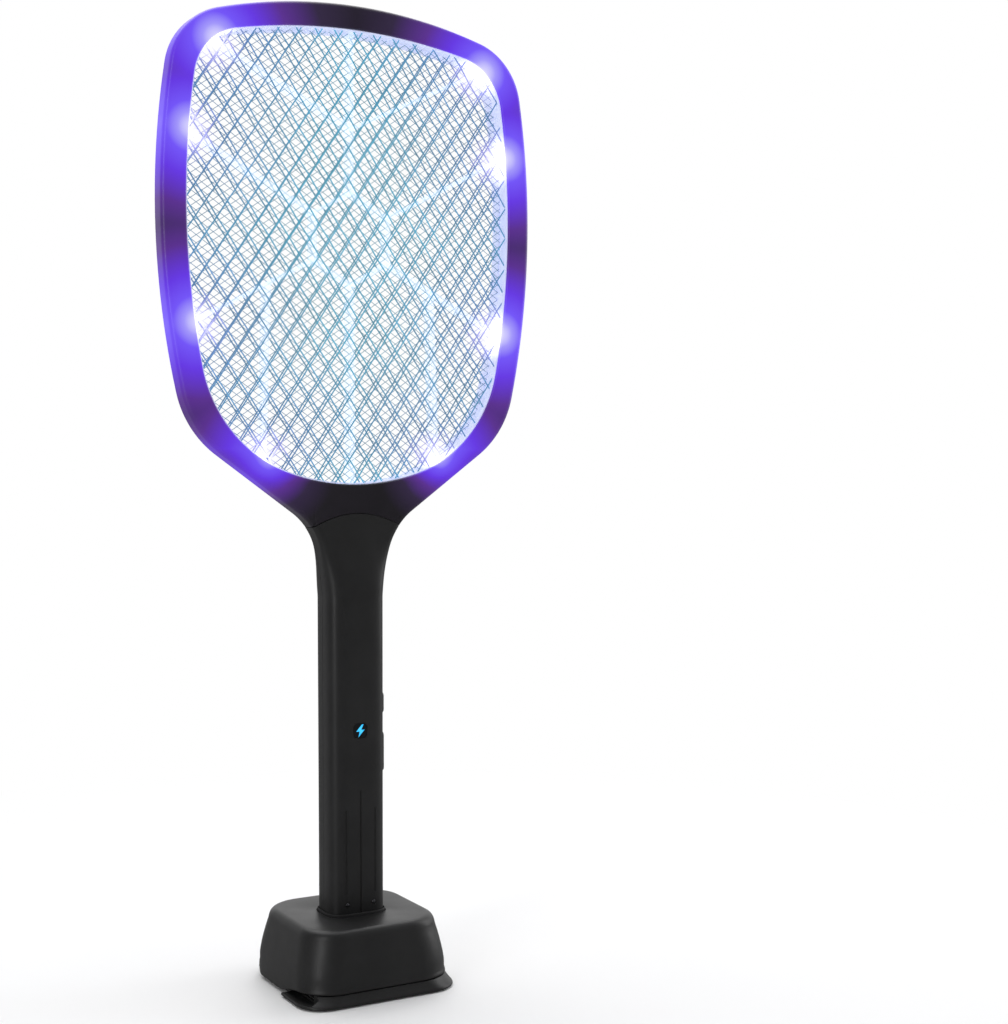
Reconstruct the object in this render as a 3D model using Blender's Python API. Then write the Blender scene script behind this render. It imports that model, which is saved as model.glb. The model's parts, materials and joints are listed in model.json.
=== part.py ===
"""Electric fly swatter standing in its charging base.

The racket's front faces -Y, +Z is up and the origin lies on the floor under the racket's axis.
Drawing dimensions are in millimetres and become metres when an object is made.
"""

import math

import bmesh
import bpy
from mathutils import Matrix, Vector

MM = 0.001
GAP = 0.3  # clearance between neighbouring pieces

# Head: the opening and the outer edge are chains of tangent arcs, each (radius, turn in degrees, steps),
# drawn down the right-hand side from the top and mirrored.
HEAD_CENTRE_Z = 395.0
OPENING_TOP = 513.4
OPENING_ARCS = ((314.5, 12.1, 3), (30.5, 69.6, 7), (447, 19.2, 4), (72.3, 61.7, 8))
OPENING_CLOSING_STEPS = 5
OUTER_TOP = 526.4
OUTER_ARCS = ((277.2, 16.0, 3), (36, 65.0, 8), (452, 21.4, 5), (54, 41.6, 7))
NECK_ARCS = ((34.0, 0.75, 7), (150.0, 0.25, 3))  # radius, share of the turn back to upright, steps
HEAD_FACE = {-1: 9.9, 1: 8.2}  # distance of the front and the rear face from the net's middle plane
EDGE_ROLL = {  # the outer edge's rounding, front and rear: (in from the edge, back from the face)
    -1: ((3.2, 0.0), (1.0, 0.8), (0.15, 2.4)),
    1: ((7.4, 0.0), (4.6, 1.7), (2.0, 4.2)),
}
LIP_Y = 6.6
LIP_WIDTH = 2.6
WALL = 1.8

# Layers inside the head, front half; the rear half mirrors them.
NET_FRONT = (-6.3, -5.5)
RING_FRONT = (-5.2, -0.7)
RIB_DEPTH = 3.0
RIB_WIDTH = 2.0
RIB_INSET = 0.05
NET_CENTRE = (-0.4, 0.4)
NET_RIM = (0.6, 2.4)
RING_RIM = (0.3, 2.2)
DIAMOND_WIDTH = 34.2
DIAMOND_HEIGHT = 50.0
STRAND = 1.0
SMALLEST_HOLE = 12.0
HEXAGON_RADIUS = 25.0
HEXAGON_Z = 403.0

# Lamps: polar angles about the head's centre, on each side.
LAMP_ANGLES = (53.1, 32.0, -24.2, -65.7)
LAMP_RADIUS = 1.5
LAMP_Y = -2.95
LAMP_WIRE_OFFSET = 6.4  # from the opening's edge
WIRE_RADIUS = 0.5

# Neck and handle: sections are superellipses.
HANDLE_HALF_WIDTH = 16.2
HANDLE_HALF_DEPTH = 12.8
NECK_PROUD = 0.3  # of the handle's faces over the head's at the joint
SECTION_POWER = 3.8
SECTION_STEPS = 14
HANDLE_WALL = 2.0
JOINT_SIDE_Z = 248.3
JOINT_TOP_Z = 255.5
NECK_END_Z = 210.0
NECK_ROWS = 8
SHELL_BOTTOM = 13.5

# Controls on the right-hand side of the handle.
ZAP_Z = (113.2, 135.4)
MODE_Z = (145.2, 157.2)
MODE_TRAVEL = 4.0
CONTROL_HALF_HEIGHT = 4.5
CONTROL_PROUD = 2.2
WINDOW_Z = 138.3
WINDOW_SIZE = 8.0
GROOVE_X = 8.6
GROOVE_Z = (50.0, 96.0)
RIVET_X = 7.7
RIVET_Z = 44.6
RIVET_RADIUS = 1.0
SCREW_PLACES = (("lower", 17.5), ("upper", 218.0))
CONTROL_SEAT_X = 13.0  # inner ends of a control's cap and of its flange
CONTROL_FLANGE_X = (12.2, 13.2)
SLOT_X = (10.0, 20.0)
WINDOW_SINK = 0.15
WINDOW_BACK_Y = -10.0
GROOVE = (1.4, 0.7)  # width, depth
MIDDLE_GROOVE_Z = (20.0, 106.0)
MIDDLE_GROOVE = (0.8, 0.5)

# Inside the handle.
BOARD_X = 9.5
BOARD_Y = (-3.0, -1.4)
BOARD_Z = (96.0, 198.0)
TRANSFORMER_Z = (160.0, 177.0)
CAPACITOR_Z = (182.5, 190.5)
CAPACITOR_HEIGHT = 6.4
TRANSISTOR_Z = (148.0, 154.0)
CELL_RADIUS = 9.1
CELL_Z = (23.2, 88.2)
CONTACT_PLATE = (6.0, 5.0, 1.2)  # half width, half depth, thickness
CONTACT_CLEARANCE = 0.6
END_CAP_Z = 10.1
PAD_RADIUS = 2.4
PAD_Z = (10.9, 14.2)
LEAD_START_Z = 200.0

# Base.
BASE_TOP = 38.5
LIP_Z = 6.9
PLATE_TOP = 6.6
PLATE_BOTTOM = 0.8
PLATE_FLOOR = 3.0
PLATE_HALF = 45.2
PLATE_CORNER = 16.0
BODY_HALF = 42.8
BODY_BULGE = 1.5  # power of the curve from the widest height to the shoulder
BODY_WIDEST_Z = 11.0
SHOULDER_HALF = 39.2
SHOULDER_Z = 33.0
TOP_HALF = 34.6
BASE_CORNER = 19.5
BASE_WALL = 2.2
SKIRT_BOTTOM = 1.0  # the cover reaches down here on its left side
SKIRT_Y = (-28.0, 2.0)  # over which the skirt drops, from the front corner backwards
SKIRT_X = (-42.8, -39.8)  # over which it lifts again at the rear corner
RIM_BACK_Y = -9.5  # the plate's rim on the left runs back to here
RIM_TOP = 2.3
SOCKET_CLEARANCE = 1.3
SOCKET_WALL = 1.8
SOCKET_FOOT = 11.0
FOOT_CENTRE = 29.0
FOOT_RADIUS = 5.0
PIN_X = 7.0
PIN_FOOT = 5.4
PIN_TOP = 10.6
PIN_RADIUS = 1.2
RECESS_X = (-50.0, -36.6)
RECESS_FRONT_Y = -39.5
BALLAST_HALF = 37.0
BALLAST_Z = (3.3, 9.6)
BLOCK_TOP = 9.8
INLET_AT = (-28.5, 5.2)  # y and z of the charge inlet's axis
INLET_X = (-28.6, -36.0)
INLET_FLOOR_X = -30.0
CORNER_STEPS = 6

PALETTE = {
    "black_shell": ((0.018, 0.018, 0.020), 0.42, 0.0),
    "head_plastic": ((0.020, 0.014, 0.032), 0.36, 0.0),
    "clear_plastic": ((0.78, 0.80, 0.90), 0.25, 0.0),
    "net_wire": ((0.20, 0.42, 0.52), 0.35, 0.8),
    "centre_wire": ((0.16, 0.19, 0.22), 0.40, 0.8),
    "lamp": ((0.85, 0.80, 1.00), 0.10, 0.0),
    "rubber": ((0.012, 0.012, 0.012), 0.75, 0.0),
    "steel": ((0.55, 0.55, 0.57), 0.35, 1.0),
    "gold": ((0.80, 0.60, 0.25), 0.30, 1.0),
    "board": ((0.03, 0.20, 0.09), 0.50, 0.0),
    "component": ((0.06, 0.06, 0.07), 0.45, 0.0),
    "yellow_tape": ((0.75, 0.55, 0.06), 0.50, 0.0),
    "film_blue": ((0.05, 0.16, 0.50), 0.35, 0.0),
    "cell_wrap": ((0.04, 0.30, 0.42), 0.35, 0.0),
    "red_wire": ((0.55, 0.03, 0.02), 0.45, 0.0),
    "window": ((0.05, 0.55, 0.85), 0.15, 0.0),
}

for old in list(bpy.data.objects):
    bpy.data.objects.remove(old, do_unlink=True)

parts = bpy.data.collections.new("electric_fly_swatter")
cutters = bpy.data.collections.new("cutters")
bpy.context.scene.collection.children.link(parts)
bpy.context.scene.collection.children.link(cutters)


# ---------------------------------------------------------------- drawing helpers


def arc_chain(x, z, arcs, grow=0.0, heading=0.0):
    """Points along tangent arcs. A heading of 0 is +X, a positive turn is clockwise, and grow offsets outwards."""
    points = [(x, z + grow)]
    for radius, turn, steps in arcs:
        reach = math.copysign(radius, turn) + grow
        x, z = points[-1]
        centre_x = x - reach * math.sin(heading)
        centre_z = z - reach * math.cos(heading)
        for step in range(1, steps + 1):
            angle = heading + math.radians(turn) * step / steps
            points.append((centre_x + reach * math.sin(angle), centre_z + reach * math.cos(angle)))
        heading += math.radians(turn)
    return points, heading


def mirrored(half):
    """A closed outline from its right half, which starts and ends on the axis."""
    return half + [(-x, z) for x, z in reversed(half[1:-1])]


def opening_half(grow=0.0):
    points, heading = arc_chain(0.0, OPENING_TOP, OPENING_ARCS, grow)
    rest = math.pi - heading
    closing = (points[-1][0] / math.sin(rest) - grow, math.degrees(rest), OPENING_CLOSING_STEPS)
    half, _ = arc_chain(0.0, OPENING_TOP, OPENING_ARCS + (closing,), grow)
    half[-1] = (0.0, half[-1][1])
    return half


def outer_half():
    """The head's outer edge, a straight flank and the concave neck, down to the handle's side."""
    points, heading = arc_chain(0.0, OUTER_TOP, OUTER_ARCS)
    turn_back = math.degrees(heading) - 90
    neck = [(radius, -turn_back * share, steps) for radius, share, steps in NECK_ARCS]
    across = arc_chain(0.0, 0.0, neck, heading=heading)[0][-1][0]
    x, z = points[-1]
    flank = (x + across - HANDLE_HALF_WIDTH) / -math.cos(heading)
    x += flank * math.cos(heading)
    z -= flank * math.sin(heading)
    return points + arc_chain(x, z, neck, heading=heading)[0]


def ray_hit(angle, polyline):
    """Where a ray from the head's centre crosses a polyline. The angle is measured from +X towards +Z."""
    dx, dz = math.cos(angle), math.sin(angle)
    for (ax, az), (bx, bz) in zip(polyline, polyline[1:]):
        ex, ez = bx - ax, bz - az
        cross = dx * ez - dz * ex
        if abs(cross) < 1e-12:
            continue
        oz = az - HEAD_CENTRE_Z
        along = (ax * ez - oz * ex) / cross
        share = (ax * dz - oz * dx) / cross
        if along > 0 and -1e-9 <= share <= 1 + 1e-9:
            return (along * dx, HEAD_CENTRE_Z + along * dz)
    raise ValueError("the ray misses the outline")


def side_width(z):
    """Half the neck's width at a height, from the outer edge."""
    edge = outer_half()
    for (ax, az), (bx, bz) in zip(edge, edge[1:]):
        if bz <= z <= az:
            return ax + (bx - ax) * (az - z) / (az - bz)
    return HANDLE_HALF_WIDTH


def joint_arc(steps=8):
    """The parting arc between head and handle, from the flank to the axis."""
    side = side_width(JOINT_SIDE_Z)
    points = []
    for step in range(steps + 1):
        x = side * (1 - step / steps)
        points.append((x, JOINT_SIDE_Z + (JOINT_TOP_Z - JOINT_SIDE_Z) * (1 - (x / side) ** 2)))
    return points


def rounded_rectangle(half_x, half_y, radius, corner_steps=5):
    points = []
    for quarter in range(4):
        centre_x = (half_x - radius) * (1, -1, -1, 1)[quarter]
        centre_y = (half_y - radius) * (1, 1, -1, -1)[quarter]
        for step in range(corner_steps + 1):
            angle = math.pi / 2 * (quarter + step / corner_steps)
            points.append((centre_x + radius * math.cos(angle), centre_y + radius * math.sin(angle)))
    return points


def superellipse(half_x, half_y, angle, power=SECTION_POWER):
    c, s = math.cos(angle), math.sin(angle)
    return (
        half_x * math.copysign(abs(c) ** (2 / power), c),
        half_y * math.copysign(abs(s) ** (2 / power), s),
    )


# ---------------------------------------------------------------- object helpers


def material(name):
    if name in bpy.data.materials:
        return bpy.data.materials[name]
    colour, roughness, metallic = PALETTE[name]
    made = bpy.data.materials.new(name)
    made.use_nodes = True
    shader = made.node_tree.nodes["Principled BSDF"]
    shader.inputs["Base Color"].default_value = (*colour, 1.0)
    shader.inputs["Roughness"].default_value = roughness
    shader.inputs["Metallic"].default_value = metallic
    return made


def own_material(obj, finish):
    """Each piece has its own copy of a finish."""
    made = material(finish).copy()
    made.name = obj.name + "_" + finish
    obj.data.materials.clear()
    obj.data.materials.append(made)


def place(obj, finish):
    if finish is None:
        cutters.objects.link(obj)
        obj.hide_render = True
        obj.display_type = "WIRE"
    else:
        parts.objects.link(obj)
        own_material(obj, finish)
    return obj


def from_bmesh(name, bm, finish):
    bmesh.ops.recalc_face_normals(bm, faces=bm.faces)
    bmesh.ops.scale(bm, vec=(MM, MM, MM), verts=bm.verts)
    mesh = bpy.data.meshes.new(name)
    bm.to_mesh(mesh)
    bm.free()
    return place(bpy.data.objects.new(name, mesh), finish)


def loft(name, sections, finish, closed_path=False, thin=False):
    """A solid through closed sections that have equal counts of points. A thin section is there and back."""
    bm = bmesh.new()
    rows = [[bm.verts.new(point) for point in section] for section in sections]
    count = len(rows[0])
    pairs = list(zip(rows, rows[1:]))
    if closed_path:
        pairs.append((rows[-1], rows[0]))
    elif thin:
        for row in (rows[0], rows[-1]):
            for i in range(count // 2 - 1):
                bm.faces.new((row[i], row[i + 1], row[count - 2 - i], row[count - 1 - i]))
    else:
        bm.faces.new(rows[0])
        bm.faces.new(rows[-1])
    for here, there in pairs:
        for i in range(count):
            j = (i + 1) % count
            bm.faces.new((here[i], here[j], there[j], there[i]))
    return from_bmesh(name, bm, finish)


def box(name, low, high, finish, bevel=0.0):
    bm = bmesh.new()
    bmesh.ops.create_cube(bm, size=1.0)
    size = [b - a for a, b in zip(low, high)]
    middle = [(a + b) / 2 for a, b in zip(low, high)]
    bmesh.ops.scale(bm, vec=size, verts=bm.verts)
    bmesh.ops.translate(bm, vec=middle, verts=bm.verts)
    if bevel:
        bmesh.ops.bevel(bm, geom=bm.edges[:], offset=bevel, segments=1, affect="EDGES")
    return from_bmesh(name, bm, finish)


def cylinder(name, start, end, radius, finish, sides=16, end_radius=None):
    """A cylinder, or a cone, between two points."""
    start, end = Vector(start), Vector(end)
    axis = end - start
    bm = bmesh.new()
    bmesh.ops.create_cone(
        bm,
        cap_ends=True,
        segments=sides,
        radius1=radius,
        radius2=radius if end_radius is None else end_radius,
        depth=axis.length,
        matrix=Matrix.Translation((start + end) / 2) @ axis.to_track_quat("Z", "Y").to_matrix().to_4x4(),
    )
    return from_bmesh(name, bm, finish)


def turned(name, profile, base, axis, finish, sides=12):
    """A solid of revolution. The profile is (radius, distance along the axis), starting and ending on the axis."""
    turn = Vector(axis).to_track_quat("Z", "Y").to_matrix().to_4x4()
    bm = bmesh.new()
    rings = []
    for radius, along in profile[1:-1]:
        rings.append(
            [
                bm.verts.new((radius * math.cos(a), radius * math.sin(a), along))
                for a in (2 * math.pi * k / sides for k in range(sides))
            ]
        )
    ends = [bm.verts.new((0, 0, profile[0][1])), bm.verts.new((0, 0, profile[-1][1]))]
    for end, ring in zip(ends, (rings[0], rings[-1])):
        for i in range(sides):
            bm.faces.new((end, ring[i], ring[(i + 1) % sides]))
    for here, there in zip(rings, rings[1:]):
        for i in range(sides):
            j = (i + 1) % sides
            bm.faces.new((here[i], here[j], there[j], there[i]))
    bmesh.ops.transform(bm, matrix=Matrix.Translation(base) @ turn, verts=bm.verts)
    return from_bmesh(name, bm, finish)


def flat_curve(name, outlines, low, high, upright):
    """A filled 2D curve, extruded: upright outlines are (x, z) between two ys, others (x, y) between two zs."""
    curve = bpy.data.curves.new(name, "CURVE")
    curve.dimensions = "2D"
    curve.fill_mode = "BOTH"
    curve.extrude = (high - low) / 2 * MM
    for outline in outlines:
        spline = curve.splines.new("POLY")
        spline.points.add(len(outline) - 1)
        for point, (u, v) in zip(spline.points, outline):
            point.co = (u * MM, v * MM, 0, 1)
        spline.use_cyclic_u = True
    obj = bpy.data.objects.new(name, curve)
    middle = (low + high) / 2 * MM
    if upright:
        obj.rotation_euler = (math.pi / 2, 0, 0)
        obj.location = (0, middle, 0)
    else:
        obj.location = (0, 0, middle)
    return obj


def flat_solid(name, outlines, low, high, finish, upright=True):
    """The extruded outline as a welded mesh, which Booleans accept."""
    obj = flat_curve(name, outlines, low, high, upright)
    bpy.context.scene.collection.objects.link(obj)
    bpy.context.view_layer.update()
    graph = bpy.context.evaluated_depsgraph_get()
    mesh = bpy.data.meshes.new_from_object(obj.evaluated_get(graph))
    bm = bmesh.new()
    bm.from_mesh(mesh)
    bmesh.ops.remove_doubles(bm, verts=bm.verts, dist=1e-6)
    bmesh.ops.transform(bm, matrix=obj.matrix_world, verts=bm.verts)
    bmesh.ops.recalc_face_normals(bm, faces=bm.faces)
    bm.to_mesh(mesh)
    bm.free()
    bpy.data.objects.remove(obj)
    mesh.name = name
    return place(bpy.data.objects.new(name, mesh), finish)


def wire(name, points, radius, finish):
    """A round wire through its points."""
    curve = bpy.data.curves.new(name, "CURVE")
    curve.dimensions = "3D"
    curve.bevel_depth = radius * MM
    curve.bevel_resolution = 1
    curve.use_fill_caps = True
    spline = curve.splines.new("POLY")
    spline.points.add(len(points) - 1)
    for point, where in zip(spline.points, points):
        point.co = (*(value * MM for value in where), 1)
    return place(bpy.data.objects.new(name, curve), finish)


def set_origin(obj, point):
    """Moves an object's origin to its joint without moving its shape."""
    where = Vector(point) * MM
    obj.data.transform(Matrix.Translation(-where))
    obj.location = where


def boolean(target, other, operation):
    modifier = target.modifiers.new(other.name, "BOOLEAN")
    modifier.operation = operation
    modifier.solver = "EXACT"
    modifier.object = other


def cut(target, cutter):
    boolean(target, cutter, "DIFFERENCE")


def join(target, other):
    boolean(target, other, "UNION")


# ---------------------------------------------------------------- head


def station_angles():
    """Polar angles of the frame's sections, clockwise from the top, with one at each end of the neck joint."""
    angles = [math.atan2(z - HEAD_CENTRE_Z, x) for x, z in opening_half()]
    joint_x, joint_z = joint_arc()[0]
    angles.append(math.atan2(joint_z - HEAD_CENTRE_Z, joint_x))
    return sorted(angles, reverse=True)


def frame_section(width, side, walled):
    """The channel section, as (distance out from the opening, y): a face with a lip and an outer wall."""
    face = HEAD_FACE[side]
    part = GAP / 2
    if walled:
        outside = [(width - inset, face - back) for inset, back in EDGE_ROLL[side]] + [(width, part)]
        inside = [
            (width - max(WALL, inset + WALL * share), face - back - WALL * (1 - share))
            for (inset, back), share in zip(EDGE_ROLL[side], (0.0, 0.3, 0.8))
        ]
        inside = [(width - WALL, part)] + inside[::-1]
    else:
        outside = [(width - 5.2, face), (width - 3.0, face), (width - 1.0, face), (width, face - 0.3)]
        under = face - WALL
        inside = [(width, under + 0.3), (width - 0.7, under), (width - 2.0, under), (width - 4.6, under)]
    lip = [(0.0, LIP_Y), (0.0, face - 1.3), (0.4, face - 0.4), (1.4, face)]
    points = [*lip, *outside, *inside, (LIP_WIDTH, LIP_Y)]
    return [(out, side * y) for out, y in points]


def head_height(inset, side):
    """The head section's height at a distance in from its edge."""
    face = HEAD_FACE[side]
    points = [(0.0, 0.0), *((step, face - back) for step, back in reversed(EDGE_ROLL[side]))]
    for (near, low), (far, high) in zip(points, points[1:]):
        if inset <= far:
            return low + (high - low) * (inset - near) / (far - near)
    return face


def head_frame(name, side):
    opening = opening_half()
    edge = [point for point in outer_half() if point[1] > JOINT_SIDE_Z] + joint_arc()
    joint_x, joint_z = joint_arc()[0]
    joint_angle = math.atan2(joint_z - HEAD_CENTRE_Z, joint_x)
    half = []
    for angle in station_angles():
        inner = Vector(ray_hit(angle, [(-1e-6, opening[0][1])] + opening[1:-1] + [(-1e-6, opening[-1][1])]))
        outer = Vector(ray_hit(angle, [(-1e-6, edge[0][1])] + edge[1:-1] + [(-1e-6, edge[-1][1])]))
        outward = (outer - inner).normalized()
        walled = angle > joint_angle - 1e-6
        section = []
        for out, y in frame_section((outer - inner).length, side, walled):
            flat = inner + outward * out
            drop = 0.0 if walled else HEAD_FACE[side] - head_height(side_width(flat.y) - flat.x, side)
            section.append((flat.x, side * max(GAP / 2, abs(y) - drop), flat.y))
        half.append(section)
    for section in (half[0], half[-1]):
        section[:] = [(0.0, y, z) for _, y, z in section]
    other = [[(-x, y, z) for x, y, z in section] for section in reversed(half[1:-1])]
    return loft(name, half + other, "head_plastic", closed_path=True)


def inside_of(polygon, a, b):
    """The part of a convex polygon on the right of the line a-b, which runs clockwise round the keeper."""
    kept = []
    for here, there in zip(polygon, polygon[1:] + polygon[:1]):
        side_here = (b[0] - a[0]) * (here[1] - a[1]) - (b[1] - a[1]) * (here[0] - a[0])
        side_there = (b[0] - a[0]) * (there[1] - a[1]) - (b[1] - a[1]) * (there[0] - a[0])
        if side_here <= 0:
            kept.append(here)
        if side_here * side_there < 0:
            share = side_here / (side_here - side_there)
            kept.append((here[0] + share * (there[0] - here[0]), here[1] + share * (there[1] - here[1])))
    return kept


def area(polygon):
    return abs(sum(a[0] * b[1] - b[0] * a[1] for a, b in zip(polygon, polygon[1:] + polygon[:1]))) / 2


def diamond_net(name, depth, shift, finish):
    """A lattice of crossing strands inside a flat rim, with its holes clipped to the opening."""
    inner = mirrored(opening_half(NET_RIM[0]))
    outlines = [mirrored(opening_half(NET_RIM[1]))]
    half_x = DIAMOND_WIDTH / 2 - STRAND
    half_z = DIAMOND_HEIGHT / 2 - STRAND * DIAMOND_HEIGHT / DIAMOND_WIDTH
    for row in range(-6, 7):
        for column in range(-4, 5):
            x = (column + 0.5 * (row % 2) + shift) * DIAMOND_WIDTH
            z = HEAD_CENTRE_Z + row * DIAMOND_HEIGHT / 2
            hole = [(x, z + half_z), (x + half_x, z), (x, z - half_z), (x - half_x, z)]
            for a, b in zip(inner, inner[1:] + inner[:1]):
                hole = inside_of(hole, a, b)
                if not hole:
                    break
            if hole and area(hole) > SMALLEST_HOLE:
                outlines.append(hole)
    return flat_solid(name, outlines, *depth, finish)


def rib_lines():
    """The ribs' centre lines on the right-hand side and on the axis, each as two (x, z) ends."""
    hexagon = [
        (HEXAGON_RADIUS * math.sin(math.radians(60 * k)), HEXAGON_Z + HEXAGON_RADIUS * math.cos(math.radians(60 * k)))
        for k in range(6)
    ]
    opening = opening_half(1.0)
    fork = (0.0, HEXAGON_Z + HEXAGON_RADIUS * 2.35)
    side_up = ray_hit(math.radians(LAMP_ANGLES[1]), opening)
    side_down = ray_hit(math.radians(LAMP_ANGLES[2]), opening)
    corner_up = ray_hit(math.radians(LAMP_ANGLES[0]), opening)
    corner_down = ray_hit(math.radians(LAMP_ANGLES[3]), opening)
    share = 0.38
    branch = tuple(a + share * (b - a) for a, b in zip(hexagon[2], side_down))
    axis = [(hexagon[0], (0.0, OPENING_TOP + 1.0)), (hexagon[3], (0.0, opening[-1][1]))]
    right = [
        (hexagon[0], hexagon[1]),
        (hexagon[1], hexagon[2]),
        (hexagon[2], hexagon[3]),
        (hexagon[1], side_up),
        (hexagon[2], side_down),
        (fork, corner_up),
        (branch, corner_down),
    ]
    return axis, right


def rib(name, start, end, low, high):
    """One straight rib, a bar from start to end."""
    start, end = Vector(start), Vector(end)
    along = (end - start).normalized()
    across = Vector((-along.y, along.x)) * RIB_WIDTH / 2
    start = start - along * RIB_WIDTH * 0.3
    end = end + along * RIB_WIDTH * 0.1
    corners = [start + across, end + across, end - across, start - across]
    return loft(name, [[(c.x, y, c.y) for c in corners] for y in (low, high)], None)


def support_ring(name, side):
    low, high = sorted(-side * y for y in RING_FRONT)
    ring = flat_solid(
        name, [mirrored(opening_half(RING_RIM[1])), mirrored(opening_half(RING_RIM[0]))], low, high, "clear_plastic"
    )
    face = -side * RING_FRONT[0]
    rib_low, rib_high = sorted((face - side * RIB_INSET, face - side * RIB_DEPTH))
    axis, right = rib_lines()
    left = [((-a[0], a[1]), (-b[0], b[1])) for a, b in right]
    for number, (start, end) in enumerate(axis + right + left):
        join(ring, rib(f"{name}_rib_{number}", start, end, rib_low, rib_high))
    return ring


def lamp_places():
    """Each lamp's point on the opening's edge and its inward direction, clockwise from the upper right."""
    half = opening_half()
    places = []
    for degrees in LAMP_ANGLES:
        x, z = ray_hit(math.radians(degrees), half)
        before = ray_hit(math.radians(degrees + 3), half)
        after = ray_hit(math.radians(degrees - 3), half)
        tangent = Vector((after[0] - before[0], after[1] - before[1])).normalized()
        places.append(((x, z), (tangent.y, -tangent.x)))
    left = [((-x, z), (-u, v)) for (x, z), (u, v) in reversed(places)]
    return places + left


def lamps(front_ring):
    """Dome lamps that look inwards through the front support ring."""
    radius = LAMP_RADIUS
    profile = [(0, -4.2), (radius + 0.4, -4.2), (radius + 0.4, -3.3), (radius, -3.1), (radius, 0.6)]
    profile += [(radius * 0.8, 1.4), (radius * 0.4, 1.9), (0, 2.0)]
    for number, ((x, z), (inward_x, inward_z)) in enumerate(lamp_places(), 1):
        axis = (inward_x, 0, inward_z)
        base = (x, LAMP_Y, z)
        turned(f"uv_lamp_{number}", profile, base, axis, "lamp", sides=10)
        back = Vector(base) - Vector(axis) * 4.0
        tip = Vector(base) + Vector(axis) * 2.5
        cut(front_ring, cylinder(f"lamp_hole_{number}", back, tip, radius + GAP, None, sides=10))


def lamp_wire():
    """The lamp supply runs once round the frame's channel and both ends drop into the neck."""
    loop = mirrored(opening_half(LAMP_WIRE_OFFSET))
    lowest = len(loop) // 2
    round_the_head = loop[lowest + 3 :] + loop[: lowest - 2]
    tail = [(5.0, LAMP_Y, 205.0), (5.0, LAMP_Y, 240.0), (9.0, LAMP_Y, 260.0)]
    points = [(-x, y, z) for x, y, z in tail]
    points += [(x, LAMP_Y, z) for x, z in round_the_head[::2]]
    points += reversed(tail)
    wire("lamp_supply_wire", points, WIRE_RADIUS, "red_wire")


def head():
    head_frame("head_front_frame", -1)
    head_frame("head_rear_frame", 1)
    diamond_net("front_safety_net", NET_FRONT, 0.0, "net_wire")
    diamond_net("high_voltage_net", NET_CENTRE, 0.25, "centre_wire")
    diamond_net("rear_safety_net", tuple(sorted(-y for y in NET_FRONT)), 0.0, "net_wire")
    ring = support_ring("front_support_ring", -1)
    support_ring("rear_support_ring", 1)
    lamps(ring)
    lamp_wire()


# ---------------------------------------------------------------- handle


def handle_half_section(half_width, half_depth, side, z_middle, z_side, likeness=0.0):
    """A U section of one shell, bowed upwards to its middle. likeness 1 gives the head's section."""
    section = []
    for wall, order in ((0.0, 1), (HANDLE_WALL, -1)):
        run = []
        for step in range(SECTION_STEPS + 1):
            angle = math.pi * step / SECTION_STEPS
            x, y = superellipse(half_width - wall, half_depth - wall - GAP / 2, angle)
            height = abs(y)
            like_head = head_height(half_width - wall - abs(x), side) + NECK_PROUD - wall - GAP / 2
            height += (max(0.0, like_head) - height) * likeness
            bow = 1 - (x / half_width) ** 2
            run.append((x, side * (height + GAP / 2), z_side + (z_middle - z_side) * bow))
        section += run[::order]
    return section


def handle_shell(name, side):
    sections = []
    for row in range(NECK_ROWS + 1):
        share = row / NECK_ROWS
        z_side = JOINT_SIDE_Z - GAP + (NECK_END_Z - JOINT_SIDE_Z + GAP) * share
        z_middle = JOINT_TOP_Z - GAP + (NECK_END_Z - JOINT_TOP_Z + GAP) * share
        swell = 0.5 - 0.5 * math.cos(math.pi * min(1.0, share * 1.1))
        neck_depth = HEAD_FACE[side] + NECK_PROUD
        depth = neck_depth + (HANDLE_HALF_DEPTH - neck_depth) * swell
        sections.append(handle_half_section(side_width(z_side), depth, side, z_middle, z_side, 1.0 - swell))
    sections.append(
        handle_half_section(HANDLE_HALF_WIDTH, HANDLE_HALF_DEPTH, side, SHELL_BOTTOM, SHELL_BOTTOM)
    )
    return loft(name, sections, "black_shell", thin=True)


def control_slot(name, z_low, z_high):
    """A slot through the right-hand wall, half in each shell."""
    high = CONTROL_HALF_HEIGHT + GAP
    return box(name, (SLOT_X[0], -high, z_low - GAP), (SLOT_X[1], high, z_high + GAP), None)


def control(name, z_low, z_high, flange, stem, finish):
    """A control: its cap stands through the slot, a flange keeps it in and a stem reaches the switch."""
    high = CONTROL_HALF_HEIGHT
    proud = HANDLE_HALF_WIDTH + CONTROL_PROUD
    low_ring = rounded_control_ring(CONTROL_SEAT_X, z_low, z_high, high, 0.0)
    sections = [low_ring]
    sections.append(rounded_control_ring(proud - 1.0, z_low, z_high, high, 0.0))
    sections.append(rounded_control_ring(proud - 0.3, z_low, z_high, high, 0.5))
    sections.append(rounded_control_ring(proud, z_low, z_high, high, 1.4))
    cap = loft(name, sections, finish)
    near, far = CONTROL_FLANGE_X
    plate = box(name + "_flange", (near, -high - 1.0, z_low - flange), (far, high + 1.0, z_high + flange), None)
    join(cap, plate)
    middle = (z_low + z_high) / 2
    join(cap, box(name + "_stem", (stem, -0.5, middle - 1.5), (12.6, 2.5, middle + 1.5), None))
    set_origin(cap, (HANDLE_HALF_WIDTH, 0.0, middle))


def rounded_control_ring(x, z_low, z_high, half_height, inset):
    """A rounded rectangle in the plane of the handle's right side."""
    outline = rounded_rectangle(half_height - inset, (z_high - z_low) / 2 - inset, 2.4 - inset, 3)
    return [(x, y, (z_low + z_high) / 2 + z) for y, z in outline]


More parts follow.
